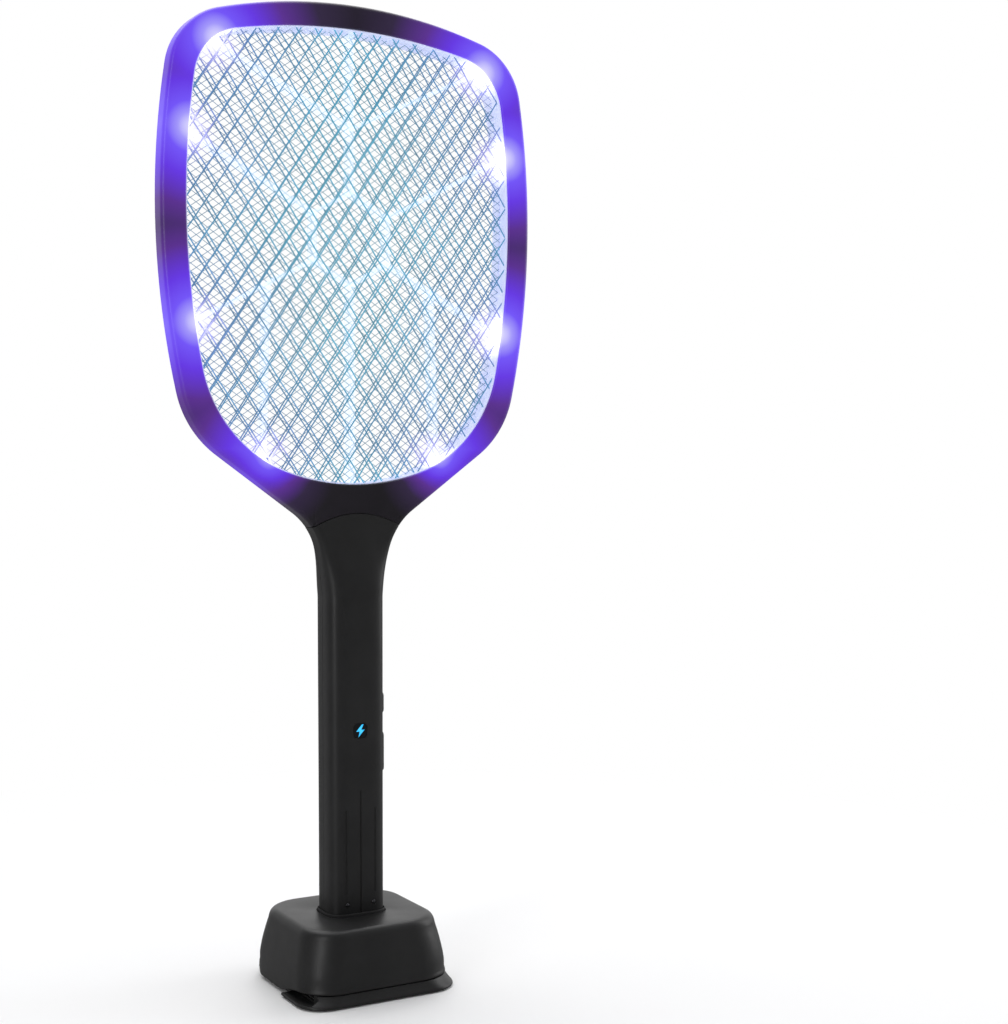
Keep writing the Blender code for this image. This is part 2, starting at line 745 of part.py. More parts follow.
def capsule_cutter(name, x, z_low, z_high, width, depth):
    """A groove along the handle's front with round ends."""
    radius = width / 2
    outline = []
    for end, sign in ((z_high - radius, 1), (z_low + radius, -1)):
        for step in range(5):
            angle = math.pi * step / 4
            outline.append((x + sign * radius * math.cos(angle), end + sign * radius * math.sin(angle)))
    front = -HANDLE_HALF_DEPTH
    return flat_solid(name, [outline], front - 1.0, front + depth, None)


def handle():
    front = handle_shell("handle_front_shell", -1)
    rear = handle_shell("handle_rear_shell", 1)
    for shell, tag in ((front, "front"), (rear, "rear")):
        cut(shell, control_slot(f"zap_slot_{tag}", *ZAP_Z))
        cut(shell, control_slot(f"mode_slot_{tag}", MODE_Z[0] - MODE_TRAVEL, MODE_Z[1]))
    half = WINDOW_SIZE / 2 + GAP
    opening = [(x, WINDOW_Z + z) for x, z in rounded_rectangle(half, half, 2.0, 3)]
    cut(front, flat_solid("window_hole", [opening], -14.0, -9.0, None))
    for tag, side in (("left", -1), ("right", 1)):
        cut(front, capsule_cutter(f"groove_{tag}", side * GROOVE_X, *GROOVE_Z, *GROOVE))
        x = side * RIVET_X
        hole = cylinder(f"rivet_hole_{tag}", (x, -15, RIVET_Z), (x, -9, RIVET_Z), RIVET_RADIUS + GAP, None, 10)
        cut(front, hole)
    cut(front, capsule_cutter("groove_middle", 0.0, *MIDDLE_GROOVE_Z, *MIDDLE_GROOVE))
    for tag, z in SCREW_PLACES:
        recess = [(0, 6), (1.5, 6), (1.5, 11.2), (3.1, 11.2), (3.1, 15), (0, 15)]
        cut(rear, turned(f"handle_screw_recess_{tag}", recess, (0, 0, z), (0, 1, 0), None, sides=10))
        profile = [(0, 0), (1.2, 0), (1.2, 18.4), (2.8, 18.4), (2.8, 19.0), (2.3, 19.3), (0, 19.3)]
        turned(f"handle_screw_{tag}", profile, (0, -6.9, z), (0, 1, 0), "steel", sides=10)
        post = cylinder(f"handle_boss_{tag}", (0, -11.4, z), (0, -0.6, z), 2.8, None, 12)
        join(front, post)
        cut(front, cylinder(f"handle_boss_hole_{tag}", (0, -7.6, z), (0, 0.5, z), 1.5, None, 10))
    controls()
    electronics()
    battery()
    end_cap()


def controls():
    control("zap_button", *ZAP_Z, 1.4, 10.7, "black_shell")
    control("mode_switch_knob", *MODE_Z, 1.2, 10.3, "black_shell")
    middle = sum(ZAP_Z) / 2
    tact = box("zap_switch", (4.0, BOARD_Y[1] + GAP, middle - 3), (8.2, 3.4, middle + 3), "component")
    join(tact, cylinder("zap_switch_plunger", (7.8, 1.0, middle), (8.9, 1.0, middle), 1.2, None, 10))
    middle = sum(MODE_Z) / 2 - MODE_TRAVEL / 2
    box("mode_switch", (4.4, BOARD_Y[1] + GAP, middle - 6), (10.0, 3.6, middle + 6), "steel", 0.3)


def electronics():
    low, high = BOARD_Z
    board = [(-BOARD_X, low), (BOARD_X, low), (BOARD_X, high), (-BOARD_X, high)]
    flat_solid("main_circuit_board", [board], *BOARD_Y, "board")
    back = BOARD_Y[1] + GAP
    low, high = TRANSFORMER_Z
    box("step_up_transformer", (-8.4, back, low), (4.6, 8.8, high), "yellow_tape", 0.8)
    for number, z in enumerate(CAPACITOR_Z, 1):
        box(f"high_voltage_capacitor_{number}", (-7.0, back, z), (6.0, 5.6, z + CAPACITOR_HEIGHT), "film_blue", 0.7)
    low, high = TRANSISTOR_Z
    box("drive_transistor", (-7.5, back, low), (-2.7, 3.6, high), "component", 0.4)
    half = WINDOW_SIZE / 2
    face = [(x, WINDOW_Z + z) for x, z in rounded_rectangle(half, half, 1.8, 3)]
    window = flat_solid("indicator_window", [face], WINDOW_SINK - HANDLE_HALF_DEPTH, WINDOW_BACK_Y, "window")
    join(window, box("light_guide", (-1.6, -10.4, WINDOW_Z - 1.6), (1.6, BOARD_Y[0] - GAP, WINDOW_Z + 1.6), None))
    top = NET_RIM[1]
    bottom_z = opening_half(top)[-1][1]
    start = LEAD_START_Z
    wire("centre_net_lead", [(2.4, 2.0, start), (2.4, 2.0, 225.0), (0.8, 1.0, 250.0), (0.0, 0.0, bottom_z - 0.9)],
         WIRE_RADIUS, "red_wire")
    wire("safety_net_lead", [(-2.4, 4.6, start), (-2.4, 5.0, 232.0), (-1.6, 5.6, 255.0), (-1.0, 5.9, bottom_z - 0.9)],
         WIRE_RADIUS, "rubber")


def battery():
    low, high = CELL_Z
    cylinder("battery_cell", (0, 0, low), (0, 0, high), CELL_RADIUS, "cell_wrap", 24)
    half_x, half_y, thick = CONTACT_PLATE
    under, over = low - CONTACT_CLEARANCE, high + CONTACT_CLEARANCE
    box("battery_contact_lower", (-half_x, -half_y, under - thick), (half_x, half_y, under), "steel", GAP)
    box("battery_contact_upper", (-half_x, -half_y, over), (half_x, half_y, over + thick), "steel", GAP)


def end_cap():
    """The handle's end cap holds two recessed charge pads."""
    outline = [superellipse(HANDLE_HALF_WIDTH, HANDLE_HALF_DEPTH, 2 * math.pi * (k + 0.5) / 28) for k in range(28)]
    cap = flat_solid("handle_end_cap", [outline], END_CAP_Z, SHELL_BOTTOM - GAP, "black_shell", upright=False)
    for tag, side in (("left", -1), ("right", 1)):
        x = side * PIN_X
        cut(cap, cylinder(f"pad_hole_{tag}", (x, 0, 9), (x, 0, 15), PAD_RADIUS + GAP, None, 12))
        low, high = PAD_Z
        cylinder(f"charge_pad_{tag}", (x, 0, low), (x, 0, high), PAD_RADIUS, "gold", 12)
        face = HANDLE_HALF_DEPTH
        shank = [(0, 10.2), (RIVET_RADIUS, 10.2), (RIVET_RADIUS, face - 0.2)]
        stud = [*shank, (RIVET_RADIUS * 0.6, face), (0, face + 0.1)]
        turned(f"contact_rivet_{tag}", stud, (side * RIVET_X, 0, RIVET_Z), (0, -1, 0), "steel", sides=10)
        route = [
            (x, 0.0, 14.8),
            (side * 10.4, -3.0, 19.0),
            (side * 11.6, -5.0, 27.0),
            (side * 10.6, -7.2, 38.0),
            (side * RIVET_X, -9.6, RIVET_Z),
        ]
        wire(f"charge_lead_{tag}", route, WIRE_RADIUS, "red_wire")


# ---------------------------------------------------------------- base


def base_housing():
    """A drafted cover with a rounded shoulder, a flat top and a socket that the handle drops into."""
    outer = [
        (BODY_HALF - 0.6, BASE_CORNER, LIP_Z),
        (BODY_HALF, BASE_CORNER + 0.3, LIP_Z + 0.9),
        (BODY_HALF, BASE_CORNER, BODY_WIDEST_Z),
        (bulge(0.4), BASE_CORNER + 0.4, BODY_WIDEST_Z + 0.4 * (SHOULDER_Z - BODY_WIDEST_Z)),
        (SHOULDER_HALF, BASE_CORNER + 1.0, SHOULDER_Z),
        (SHOULDER_HALF - 0.9, BASE_CORNER + 0.6, SHOULDER_Z + 2.6),
        (SHOULDER_HALF - 2.6, BASE_CORNER, SHOULDER_Z + 4.6),
        (TOP_HALF, BASE_CORNER - 1.5, BASE_TOP),
    ]
    inner = [
        (TOP_HALF - 1.0, BASE_CORNER - 2.0, BASE_TOP - BASE_WALL),
        (SHOULDER_HALF - BASE_WALL - 1.2, BASE_CORNER - 1.5, SHOULDER_Z + 1.5),
        (BODY_HALF - BASE_WALL - 0.6, BASE_CORNER - BASE_WALL, LIP_Z),
    ]
    count = 4 * (CORNER_STEPS + 1)
    rings = [(rounded_rectangle(half, half, corner, CORNER_STEPS), z) for half, corner, z in outer]
    wide = SOCKET_CLEARANCE + SOCKET_WALL
    angles = [2 * math.pi * (i + 0.5) / count for i in range(count)]
    for grow, z in ((SOCKET_CLEARANCE, BASE_TOP), (SOCKET_CLEARANCE, SOCKET_FOOT), (wide, SOCKET_FOOT),
                    (wide, BASE_TOP - BASE_WALL)):
        ring = [superellipse(HANDLE_HALF_WIDTH + grow, HANDLE_HALF_DEPTH + grow, angle) for angle in angles]
        rings.append((ring, z))
    rings += [(rounded_rectangle(half, half, corner, CORNER_STEPS), z) for half, corner, z in inner]
    sections = []
    for i in range(count):
        drop = skirt_drop(*rings[1][0][i])
        section = []
        for ring, z in rings:
            low = z < BODY_WIDEST_Z and ring_is_wide(ring)
            section.append((*ring[i], z - drop if low else z))
        sections.append(section)
    return loft("base_housing", sections, "black_shell", closed_path=True)


def ring_is_wide(ring):
    """Tells the cover's own rings from the socket's."""
    return max(x for x, _ in ring) > SHOULDER_HALF


def bulge(share):
    """The cover's half width between its widest height, at share 0, and its shoulder, at share 1."""
    return SHOULDER_HALF + (BODY_HALF - SHOULDER_HALF) * (1 - share**BODY_BULGE)


def eased(value, start, end):
    """0 at the start and 1 at the end, with level ends."""
    share = min(1.0, max(0.0, (value - start) / (end - start)))
    return share * share * (3 - 2 * share)


def skirt_drop(x, y):
    """How far the cover's lower edge drops below the lip. It drops on the left side only."""
    if x > 0:
        return 0.0
    share = eased(y, *SKIRT_Y) if y < 0 else 1.0
    share = min(share, eased(-x, -SKIRT_X[1], -SKIRT_X[0])) if y > 0 else share
    return (LIP_Z - SKIRT_BOTTOM) * share


def foot_plate():
    """A tray with flared sides. On the left it stops inside the cover's skirt, and a recess at its front
    left corner leaves a thin rim under the charge inlet."""
    levels = (
        (PLATE_HALF - 0.7, PLATE_CORNER - 0.4, PLATE_BOTTOM),
        (PLATE_HALF, PLATE_CORNER, PLATE_BOTTOM + 0.8),
        (BODY_HALF + 0.1, BASE_CORNER, PLATE_TOP),
    )
    sections = []
    for half, corner, z in levels:
        outline = rounded_rectangle(half, half, corner, CORNER_STEPS)
        sections.append([(x, y, z) for x, y in outline])
    plate = loft("base_foot_plate", sections, "black_shell")
    pocket = rounded_rectangle(BODY_HALF - 3.0, BODY_HALF - 3.0, BASE_CORNER - 3.0, 5)
    cut(plate, flat_solid("plate_pocket", [pocket], PLATE_FLOOR, 12.0, None, upright=False))
    outside, inside = RECESS_X
    above = LIP_Z + 5.0
    cut(plate, box("inlet_recess", (outside, RECESS_FRONT_Y, RIM_TOP), (inside, RIM_BACK_Y + 1.0, above), None))
    cut(plate, box("skirt_room", (outside, RIM_BACK_Y, -1.0), (-BODY_HALF + 3.3, 50.0, above), None))
    cut(plate, box("skirt_room_corner", (outside, 21.0, -1.0), (-BODY_HALF + 6.2, 50.0, above), None))
    for number in range(4):
        x, y = foot_place(number)
        cut(plate, cylinder(f"foot_pocket_{number + 1}", (x, y, -2), (x, y, 1.8), FOOT_RADIUS + GAP, None, 16))
        profile = [(0, 0), (FOOT_RADIUS - 0.4, 0), (FOOT_RADIUS, 0.4), (FOOT_RADIUS, 1.5), (0, 1.5)]
        turned(f"base_foot_{number + 1}", profile, (x, y, 0), (0, 0, 1), "rubber", sides=16)
    return plate


def foot_place(number):
    return (FOOT_CENTRE * (1, -1, -1, 1)[number], FOOT_CENTRE * (1, 1, -1, -1)[number])


def socket_collar():
    """A soft lip round the handle where it enters the base."""
    outlines = []
    for grow in (SOCKET_CLEARANCE - GAP, 0.4):
        outlines.append(
            [
                superellipse(HANDLE_HALF_WIDTH + grow, HANDLE_HALF_DEPTH + grow, 2 * math.pi * (k + 0.5) / 28)
                for k in range(28)
            ]
        )
    flat_solid("socket_collar", outlines, 35.0, BASE_TOP + 1.3, "rubber", upright=False)


def base_inside():
    hole = rounded_rectangle(19.6, 16.2, 3.0, 2)
    outline = rounded_rectangle(BALLAST_HALF, BALLAST_HALF, 15.0, 5)
    ballast = flat_solid("ballast_weight", [outline, hole], *BALLAST_Z, "steel", upright=False)
    cut(ballast, box("ballast_notch", (-40.0, -40.0, 0.0), (-26.0, -16.0, 12.0), None))
    block = flat_solid(
        "contact_block", [rounded_rectangle(15.2, 11.9, 4.0, 3)], BALLAST_Z[0], BLOCK_TOP, "component", upright=False
    )
    for tag, side in (("left", -1), ("right", 1)):
        x = side * PIN_X
        cut(block, cylinder(f"pin_bore_{tag}", (x, 0, 2), (x, 0, 12), PIN_RADIUS + GAP, None, 12))
        shaft = [(0, PIN_FOOT), (PIN_RADIUS, PIN_FOOT), (PIN_RADIUS, PIN_TOP - 0.7)]
        profile = [*shaft, (0.8, PIN_TOP - 0.1), (0, PIN_TOP)]
        pin = turned(f"spring_contact_{tag}", profile, (x, 0, 0), (0, 0, 1), "gold", sides=12)
        set_origin(pin, (x, 0.0, PIN_FOOT))
    inlet_shell = rounded_rectangle(4.5, 1.6, 1.5, 4)
    inlet_mouth = rounded_rectangle(4.15, 1.25, 1.2, 4)
    inlet_y, inlet_z = INLET_AT
    back, mouth = INLET_X
    sections = []
    inner = ((mouth, inlet_mouth), (INLET_FLOOR_X, inlet_mouth))
    for x, outline in ((back, inlet_shell), (mouth, inlet_shell), *inner):
        sections.append([(x, inlet_y + u, inlet_z + v) for u, v in outline])
    inlet = loft("charge_inlet", sections, "steel")
    low = (mouth + 0.8, inlet_y - 3.2, inlet_z - 0.4)
    high = (INLET_FLOOR_X + 0.5, inlet_y + 3.2, inlet_z + 0.4)
    join(inlet, box("inlet_tongue", low, high, None))


head()
handle()
base_housing()
foot_plate()
socket_collar()
base_inside()

for piece in parts.objects:
    if piece.type == "MESH":
        piece.data.shade_smooth()
        piece.data.set_sharp_from_angle(angle=math.radians(32))
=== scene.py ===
"""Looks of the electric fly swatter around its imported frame.

Shapes are drawn in millimetres in the frame's own axes: the net faces -Y, +Z is up and the origin is on
the floor under the racket's axis. Every piece is made at rest, so its object sits at the origin.
"""

import json
import math

import bmesh
import bpy
from mathutils import Matrix, Vector


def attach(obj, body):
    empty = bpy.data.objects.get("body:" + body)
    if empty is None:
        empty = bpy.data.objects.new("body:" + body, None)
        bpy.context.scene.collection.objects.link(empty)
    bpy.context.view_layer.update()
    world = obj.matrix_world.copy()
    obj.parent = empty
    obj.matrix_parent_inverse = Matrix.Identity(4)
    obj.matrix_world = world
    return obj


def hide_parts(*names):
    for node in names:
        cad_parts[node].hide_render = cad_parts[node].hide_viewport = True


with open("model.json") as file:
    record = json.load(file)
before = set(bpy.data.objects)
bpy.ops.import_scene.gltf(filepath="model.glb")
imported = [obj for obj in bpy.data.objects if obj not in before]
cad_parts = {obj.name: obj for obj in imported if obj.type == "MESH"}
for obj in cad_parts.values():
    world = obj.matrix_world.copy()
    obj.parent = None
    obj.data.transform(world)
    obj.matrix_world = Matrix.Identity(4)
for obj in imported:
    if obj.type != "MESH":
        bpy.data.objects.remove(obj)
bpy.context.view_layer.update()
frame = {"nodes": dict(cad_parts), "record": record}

MM = 0.001

# Head outlines: tangent arcs (radius, turn in degrees, steps) down the right-hand side from the top.
HEAD_CENTRE_Z = 395.0
OPENING_TOP = 513.4
OPENING_ARCS = ((314.5, 12.1, 12), (30.5, 69.6, 26), (447, 19.2, 24), (72.3, 61.7, 30))
OPENING_CLOSING_STEPS = 12
OUTER_TOP = 526.4
OUTER_ARCS = ((277.2, 16.0, 14), (36, 65.0, 28), (452, 21.4, 24), (54, 41.6, 22))
NECK_ARCS = ((34.0, 0.75, 26), (150.0, 0.25, 10))  # radius, share of the turn back to upright, steps
HEAD_FACE = {-1: 9.9, 1: 8.2}  # distance of the front and the rear face from the net's middle plane
EDGE_ROLL = {  # the outer edge's rounding, front and rear: start, corner and end as (in from the edge, y)
    -1: ((3.2, 9.9), (0.0, 9.8), (0.0, 6.5)),
    1: ((7.4, 8.2), (2.8, 6.2), (0.0, 0.9)),
}
LIP_Y = 6.6
LIP_WIDTH = 2.6
LIP_EASE = (1.5, 1.2)  # how far the opening's front edge is rounded, across the face and down the lip
FLANGE = 5.4  # the head's edge that lies over the handle's joint
WALL = 1.8
SEAM = 0.14  # between two mouldings that touch
JOINT_STEPS = 24

# Nets: full diagonals of a diamond, wire radius, where one crossing lies and the net's plane.
SAFETY_DIAMOND = (11.4, 16.67)
SAFETY_WIRE = 0.36
FRONT_CROSSING = (-2.8, 400.9)
REAR_CROSSING = (0.2, 400.9)
NET_Y = 5.9
HIGH_VOLTAGE_DIAMOND = (6.15, 4.19)
HIGH_VOLTAGE_WIRE = 0.18
HIGH_VOLTAGE_CROSSING = (0.0, 400.0)
NET_REACH = 1.9  # past the opening's edge
NET_SPAN = 400.0  # wires start over this width and more, and those that miss the opening are left out
SHORTEST_WIRE = 3.0
WEAVE = 0.3  # height of the safety nets' waves

# Support rings, liner and ribs.
RING_Y = (0.7, 5.2)
RING_REACH = (2.2, 0.25)  # outside the opening's edge
LINER_Y = (0.45, 8.35)
LINER_INSET = (0.15, 0.65)
BEVEL_SPREAD = 1.5  # a bevel as high as this would take a ring's whole width
GUIDE_COUNT = 112
GUIDE_Y = (0.9, 5.0)
GUIDE_SHAPE = ((-0.35, -0.1), (0.35, -0.1), (0.2, 0.35), (-0.2, 0.35))  # along the liner, inwards
RIB_WIDTH = 2.0
RIB_DEPTH = 3.0
RIB_Y = 5.15
HEXAGON_RADIUS = 25.0
HEXAGON_Z = 403.0
FORK_HEIGHT = 2.35  # hexagon radii from its centre to the upper fork
BRANCH_SHARE = 0.38  # of a lower side rib, where the rib to the lower corner leaves it
LAMP_ANGLES = (53.1, 32.0, -24.2, -65.7)
LAMP_RADIUS = 1.5
LAMP_Y = -2.95
GLOW_INWARD = 1.2  # the glow's centre from the opening's edge
THROAT_Z = (290.0, 272.0)
THROAT_DIMMING = 1.3

# Handle.
HANDLE_HALF_WIDTH = 16.2
HANDLE_HALF_DEPTH = 12.8
NECK_PROUD = 0.3  # of the handle's faces over the head's at the joint
SECTION_POWER = 3.8
HANDLE_WALL = 2.0
HANDLE_STEPS = 56
JOINT_SIDE_Z = 248.3
JOINT_TOP_Z = 255.5
JOINT_GAP = 0.3
NECK_END_Z = 210.0
NECK_ROWS = 40
SHELL_BOTTOM = 13.5
ZAP_Z = (113.2, 135.4)
MODE_Z = (145.2, 157.2)
MODE_TRAVEL = 4.0
CONTROL_HALF_HEIGHT = 4.5
CONTROL_PROUD = 2.2
CONTROL_ROLL = 1.2
CONTROL_GAP = 0.3
CONTROL_SLOTS = (("zap_slot", *ZAP_Z), ("mode_slot", MODE_Z[0] - MODE_TRAVEL, MODE_Z[1]))
WINDOW_Z = 138.3
WINDOW_HALF = 4.0
BOLT_OUTLINE = (
    (0.9, 3.4), (-2.5, -0.35), (-0.45, -0.35), (-1.15, -3.4), (2.5, 0.55), (0.4, 0.55), (1.9, 3.4)
)
GROOVE_X = 8.6
GROOVE_Z = (50.0, 96.0)
CENTRE_GROOVE_Z = (20.0, 106.0)
RIVET = (7.7, 44.6)
RIVET_RADIUS = 1.0
SCREW_Z = (17.5, 218.0)

# Base.
BASE_TOP = 38.5
LIP_Z = 6.9
PLATE_TOP = 6.6
PLATE_BOTTOM = 0.8
PLATE_FLOOR = 3.0
PLATE_HALF = 45.2
PLATE_CORNER = 16.0
BODY_HALF = 42.8
BODY_BULGE = 1.5  # power of the curve from the widest height to the shoulder
BODY_WIDEST_Z = 11.0
SHOULDER_HALF = 39.2
SHOULDER_Z = 33.0
TOP_HALF = 34.6
BASE_CORNER = 19.5
BASE_WALL = 2.2
SKIRT_BOTTOM = 1.0  # the cover reaches down here on its left side
SKIRT_TUCK = 2.2  # and its lower edge leans in by this there
SKIRT_Y = (-28.0, 2.0)  # over which the skirt drops, from the front corner backwards
SKIRT_X = (-42.8, -39.8)  # over which it lifts again at the rear corner
RIM_BACK_Y = -9.5  # the plate's rim on the left runs back to here
SOCKET_CLEARANCE = 1.3
SOCKET_WALL = 1.8
SOCKET_FOOT = 11.0
FOOT_CENTRE = 29.0
FOOT_RADIUS = 5.0
INLET_RECESS = ((-50.0, -39.5, 2.3), (-36.6, RIM_BACK_Y + 1.0, 12.0))

# Studio: the direction in which the surroundings are brightest.
BRIGHT_SIDE = (0.64, 0.77, 0.0)

# Camera, from the pinhole fit to the head's symmetry and the base's corners.
CAMERA_AT = (-0.3778, -0.8227, 0.2864)
CAMERA_YAW = 29.97
CAMERA_DIP = 1.94
CAMERA_LENS = 58.41


# ---- outlines ----


def arc_chain(x, z, arcs, grow=0.0, heading=0.0):
    """Points along tangent arcs. Heading 0 is +X, a positive turn is clockwise, and grow offsets outwards."""
    points = [(x, z + grow)]
    for radius, turn, steps in arcs:
        reach = math.copysign(radius, turn) + grow
        x, z = points[-1]
        centre = (x - reach * math.sin(heading), z - reach * math.cos(heading))
        for step in range(1, steps + 1):
            angle = heading + math.radians(turn) * step / steps
            points.append((centre[0] + reach * math.sin(angle), centre[1] + reach * math.cos(angle)))
        heading += math.radians(turn)
    return points, heading


def opening_half(grow=0.0):
    """The opening's right half, from its top to its bottom, offset outwards."""
    points, heading = arc_chain(0.0, OPENING_TOP, OPENING_ARCS, grow)
    rest = math.pi - heading
    closing = (points[-1][0] / math.sin(rest) - grow, math.degrees(rest), OPENING_CLOSING_STEPS)
    half, _ = arc_chain(0.0, OPENING_TOP, OPENING_ARCS + (closing,), grow)
    half[-1] = (0.0, half[-1][1])
    return half


def outer_half():
    """The head's outer edge, a straight flank and the concave neck, down to the handle's side."""
    points, heading = arc_chain(0.0, OUTER_TOP, OUTER_ARCS)
    turn_back = math.degrees(heading) - 90
    neck = [(radius, -turn_back * share, steps) for radius, share, steps in NECK_ARCS]
    across = arc_chain(0.0, 0.0, neck, heading=heading)[0][-1][0]
    x, z = points[-1]
    flank = (x + across - HANDLE_HALF_WIDTH) / -math.cos(heading)
    x += flank * math.cos(heading)
    z -= flank * math.sin(heading)
    return points + arc_chain(x, z, neck, heading=heading)[0]


def mirrored(half):
    """A closed outline from its right half, which starts and ends on the axis."""
    return half + [(-x, z) for x, z in reversed(half[1:-1])]


def crossings(start, direction, polyline):
    """Where a line crosses a polyline's edges: (distance along the line, share of the edge) for each edge."""
    for (ax, az), (bx, bz) in zip(polyline, polyline[1:]):
        ex, ez = bx - ax, bz - az
        cross = direction[0] * ez - direction[1] * ex
        if abs(cross) > 1e-12:
            ox, oz = ax - start[0], az - start[1]
            yield (ox * ez - oz * ex) / cross, (ox * direction[1] - oz * direction[0]) / cross


def ray_hit(angle, polyline):
    """Where a ray from the head's centre crosses a polyline. The angle is measured from +X towards +Z."""
    direction = (math.cos(angle), math.sin(angle))
    for along, share in crossings((0.0, HEAD_CENTRE_Z), direction, polyline):
        if along > 0 and -1e-9 <= share <= 1 + 1e-9:
            return (along * direction[0], HEAD_CENTRE_Z + along * direction[1])
    raise ValueError("the ray misses the outline")


OUTER_EDGE = outer_half()


def side_width(z):
    """Half the neck's width at a height, from the outer edge."""
    for (ax, az), (bx, bz) in zip(OUTER_EDGE, OUTER_EDGE[1:]):
        if bz <= z <= az:
            return ax + (bx - ax) * (az - z) / (az - bz)
    return HANDLE_HALF_WIDTH


def joint_arc():
    """The parting arc between head and handle, from the flank to the axis."""
    side = side_width(JOINT_SIDE_Z)
    xs = [side * (1 - step / JOINT_STEPS) for step in range(JOINT_STEPS + 1)]
    return [(x, JOINT_SIDE_Z + (JOINT_TOP_Z - JOINT_SIDE_Z) * (1 - (x / side) ** 2)) for x in xs]


def rounded_rectangle(half_x, half_y, radius, corner_steps=12):
    points = []
    for quarter in range(4):
        centre_x = (half_x - radius) * (1, -1, -1, 1)[quarter]
        centre_y = (half_y - radius) * (1, 1, -1, -1)[quarter]
        for step in range(corner_steps + 1):
            angle = math.pi / 2 * (quarter + step / corner_steps)
            points.append((centre_x + radius * math.cos(angle), centre_y + radius * math.sin(angle)))
    return points


def superellipse(half_x, half_y, angle):
    c, s = math.cos(angle), math.sin(angle)
    x = half_x * math.copysign(abs(c) ** (2 / SECTION_POWER), c)
    y = half_y * math.copysign(abs(s) ** (2 / SECTION_POWER), s)
    return x, y


def handle_point(angle, grow):
    """A point of the handle's section, offset outwards."""
    return superellipse(HANDLE_HALF_WIDTH + grow, HANDLE_HALF_DEPTH + grow, angle)


def quarter_turn(steps):
    """The angles that divide a right angle, without its start."""
    return [math.pi / 2 * step / steps for step in range(1, steps + 1)]


def fillet(start, corner, end, steps):
    """Points from start to end along a curve that stays inside the corner."""
    points = []
    for step in range(steps + 1):
        t = step / steps
        trio = zip(start, corner, end)
        points.append(tuple((1 - t) ** 2 * a + 2 * t * (1 - t) * b + t * t * c for a, b, c in trio))
    return points


# ---- mesh helpers ----


def mesh_piece(name, points, faces, sharp=35.0):
    """A mesh object from points in millimetres, smooth but for its sharp edges."""
    mesh = bpy.data.meshes.new(name)
    mesh.from_pydata([tuple(c * MM for c in point) for point in points], [], faces)
    mesh.update()
    mesh.shade_smooth()
    mesh.set_sharp_from_angle(angle=math.radians(sharp))
    obj = bpy.data.objects.new(name, mesh)
    bpy.context.scene.collection.objects.link(obj)
    return obj


def loft(name, sections, closed_path=False, thin=False, sharp=35.0):
    """A skin through closed sections of equal length. A thin section runs out and back, with strip caps."""
    count = len(sections[0])
    rows = len(sections)
    points = [point for section in sections for point in section]
    faces = []
    for row in range(rows if closed_path else rows - 1):
        below = (row + 1) % rows
        for i in range(count):
            j = (i + 1) % count
            faces.append((row * count + i, row * count + j, below * count + j, below * count + i))
    if not closed_path:
        for row in (0, rows - 1):
            start = row * count
            if thin:
                for i in range(count // 2 - 1):
                    faces.append((start + i, start + i + 1, start + count - 2 - i, start + count - 1 - i))
            else:
                faces.append(tuple(start + i for i in range(count)))
    obj = mesh_piece(name, points, faces, sharp)
    face_out(obj)
    return obj


def face_out(obj):
    bm = bmesh.new()
    bm.from_mesh(obj.data)
    bmesh.ops.recalc_face_normals(bm, faces=bm.faces)
    bm.to_mesh(obj.data)
    bm.free()


def turned(name, profile, base, axis, sides=32, sharp=35.0):
    """A solid of revolution. The profile, (radius, distance along the axis), has radius 0 at both ends."""
    turn = Matrix.Translation(base) @ Vector(axis).to_track_quat("Z", "Y").to_matrix().to_4x4()
    sections = []
    for radius, along in profile:
        radius = max(radius, 1e-4)
        angles = [2 * math.pi * k / sides for k in range(sides)]
        ring = [Vector((radius * math.cos(angle), radius * math.sin(angle), along)) for angle in angles]
        sections.append([tuple(turn @ point) for point in ring])
    return loft(name, sections, sharp=sharp)


def flat_prism(name, outline, z_low, z_high):
    return loft(name, [[(x, y, z) for x, y in outline] for z in (z_low, z_high)])


def upright_prism(name, outline, y_low, y_high):
    return loft(name, [[(x, y, z) for x, z in outline] for y in (y_low, y_high)])


def box(name, low, high):
    (x0, y0, z0), (x1, y1, z1) = low, high
    return flat_prism(name, ((x0, y0), (x1, y0), (x1, y1), (x0, y1)), z0, z1)


def hollow_prism(name, outer, inner, y_low, y_high, bevel):
    """A ring between two outlines of equal length, whose inner edges are bevelled."""
    share = bevel / BEVEL_SPREAD
    bevelled = [(ix + (ox - ix) * share, iz + (oz - iz) * share) for (ox, oz), (ix, iz) in zip(outer, inner)]
    loops = (
        (inner, y_low + bevel), (bevelled, y_low), (outer, y_low),
        (outer, y_high), (bevelled, y_high), (inner, y_high - bevel),
    )
    sections = []
    for i in range(len(inner)):
        sections.append([(outline[i][0], y, outline[i][1]) for outline, y in loops])
    return loft(name, sections, closed_path=True)


def apply_modifiers(obj):
    bpy.context.view_layer.update()
    graph = bpy.context.evaluated_depsgraph_get()
    mesh = bpy.data.meshes.new_from_object(obj.evaluated_get(graph))
    obj.modifiers.clear()
    obj.data = mesh


def cut(target, cutters):
    """Takes the cutters out of the target and removes them."""
    for cutter in cutters:
        modifier = target.modifiers.new(cutter.name, "BOOLEAN")
        modifier.operation = "DIFFERENCE"
        modifier.solver = "EXACT"
        modifier.object = cutter
    apply_modifiers(target)
    for cutter in cutters:
        bpy.data.objects.remove(cutter, do_unlink=True)


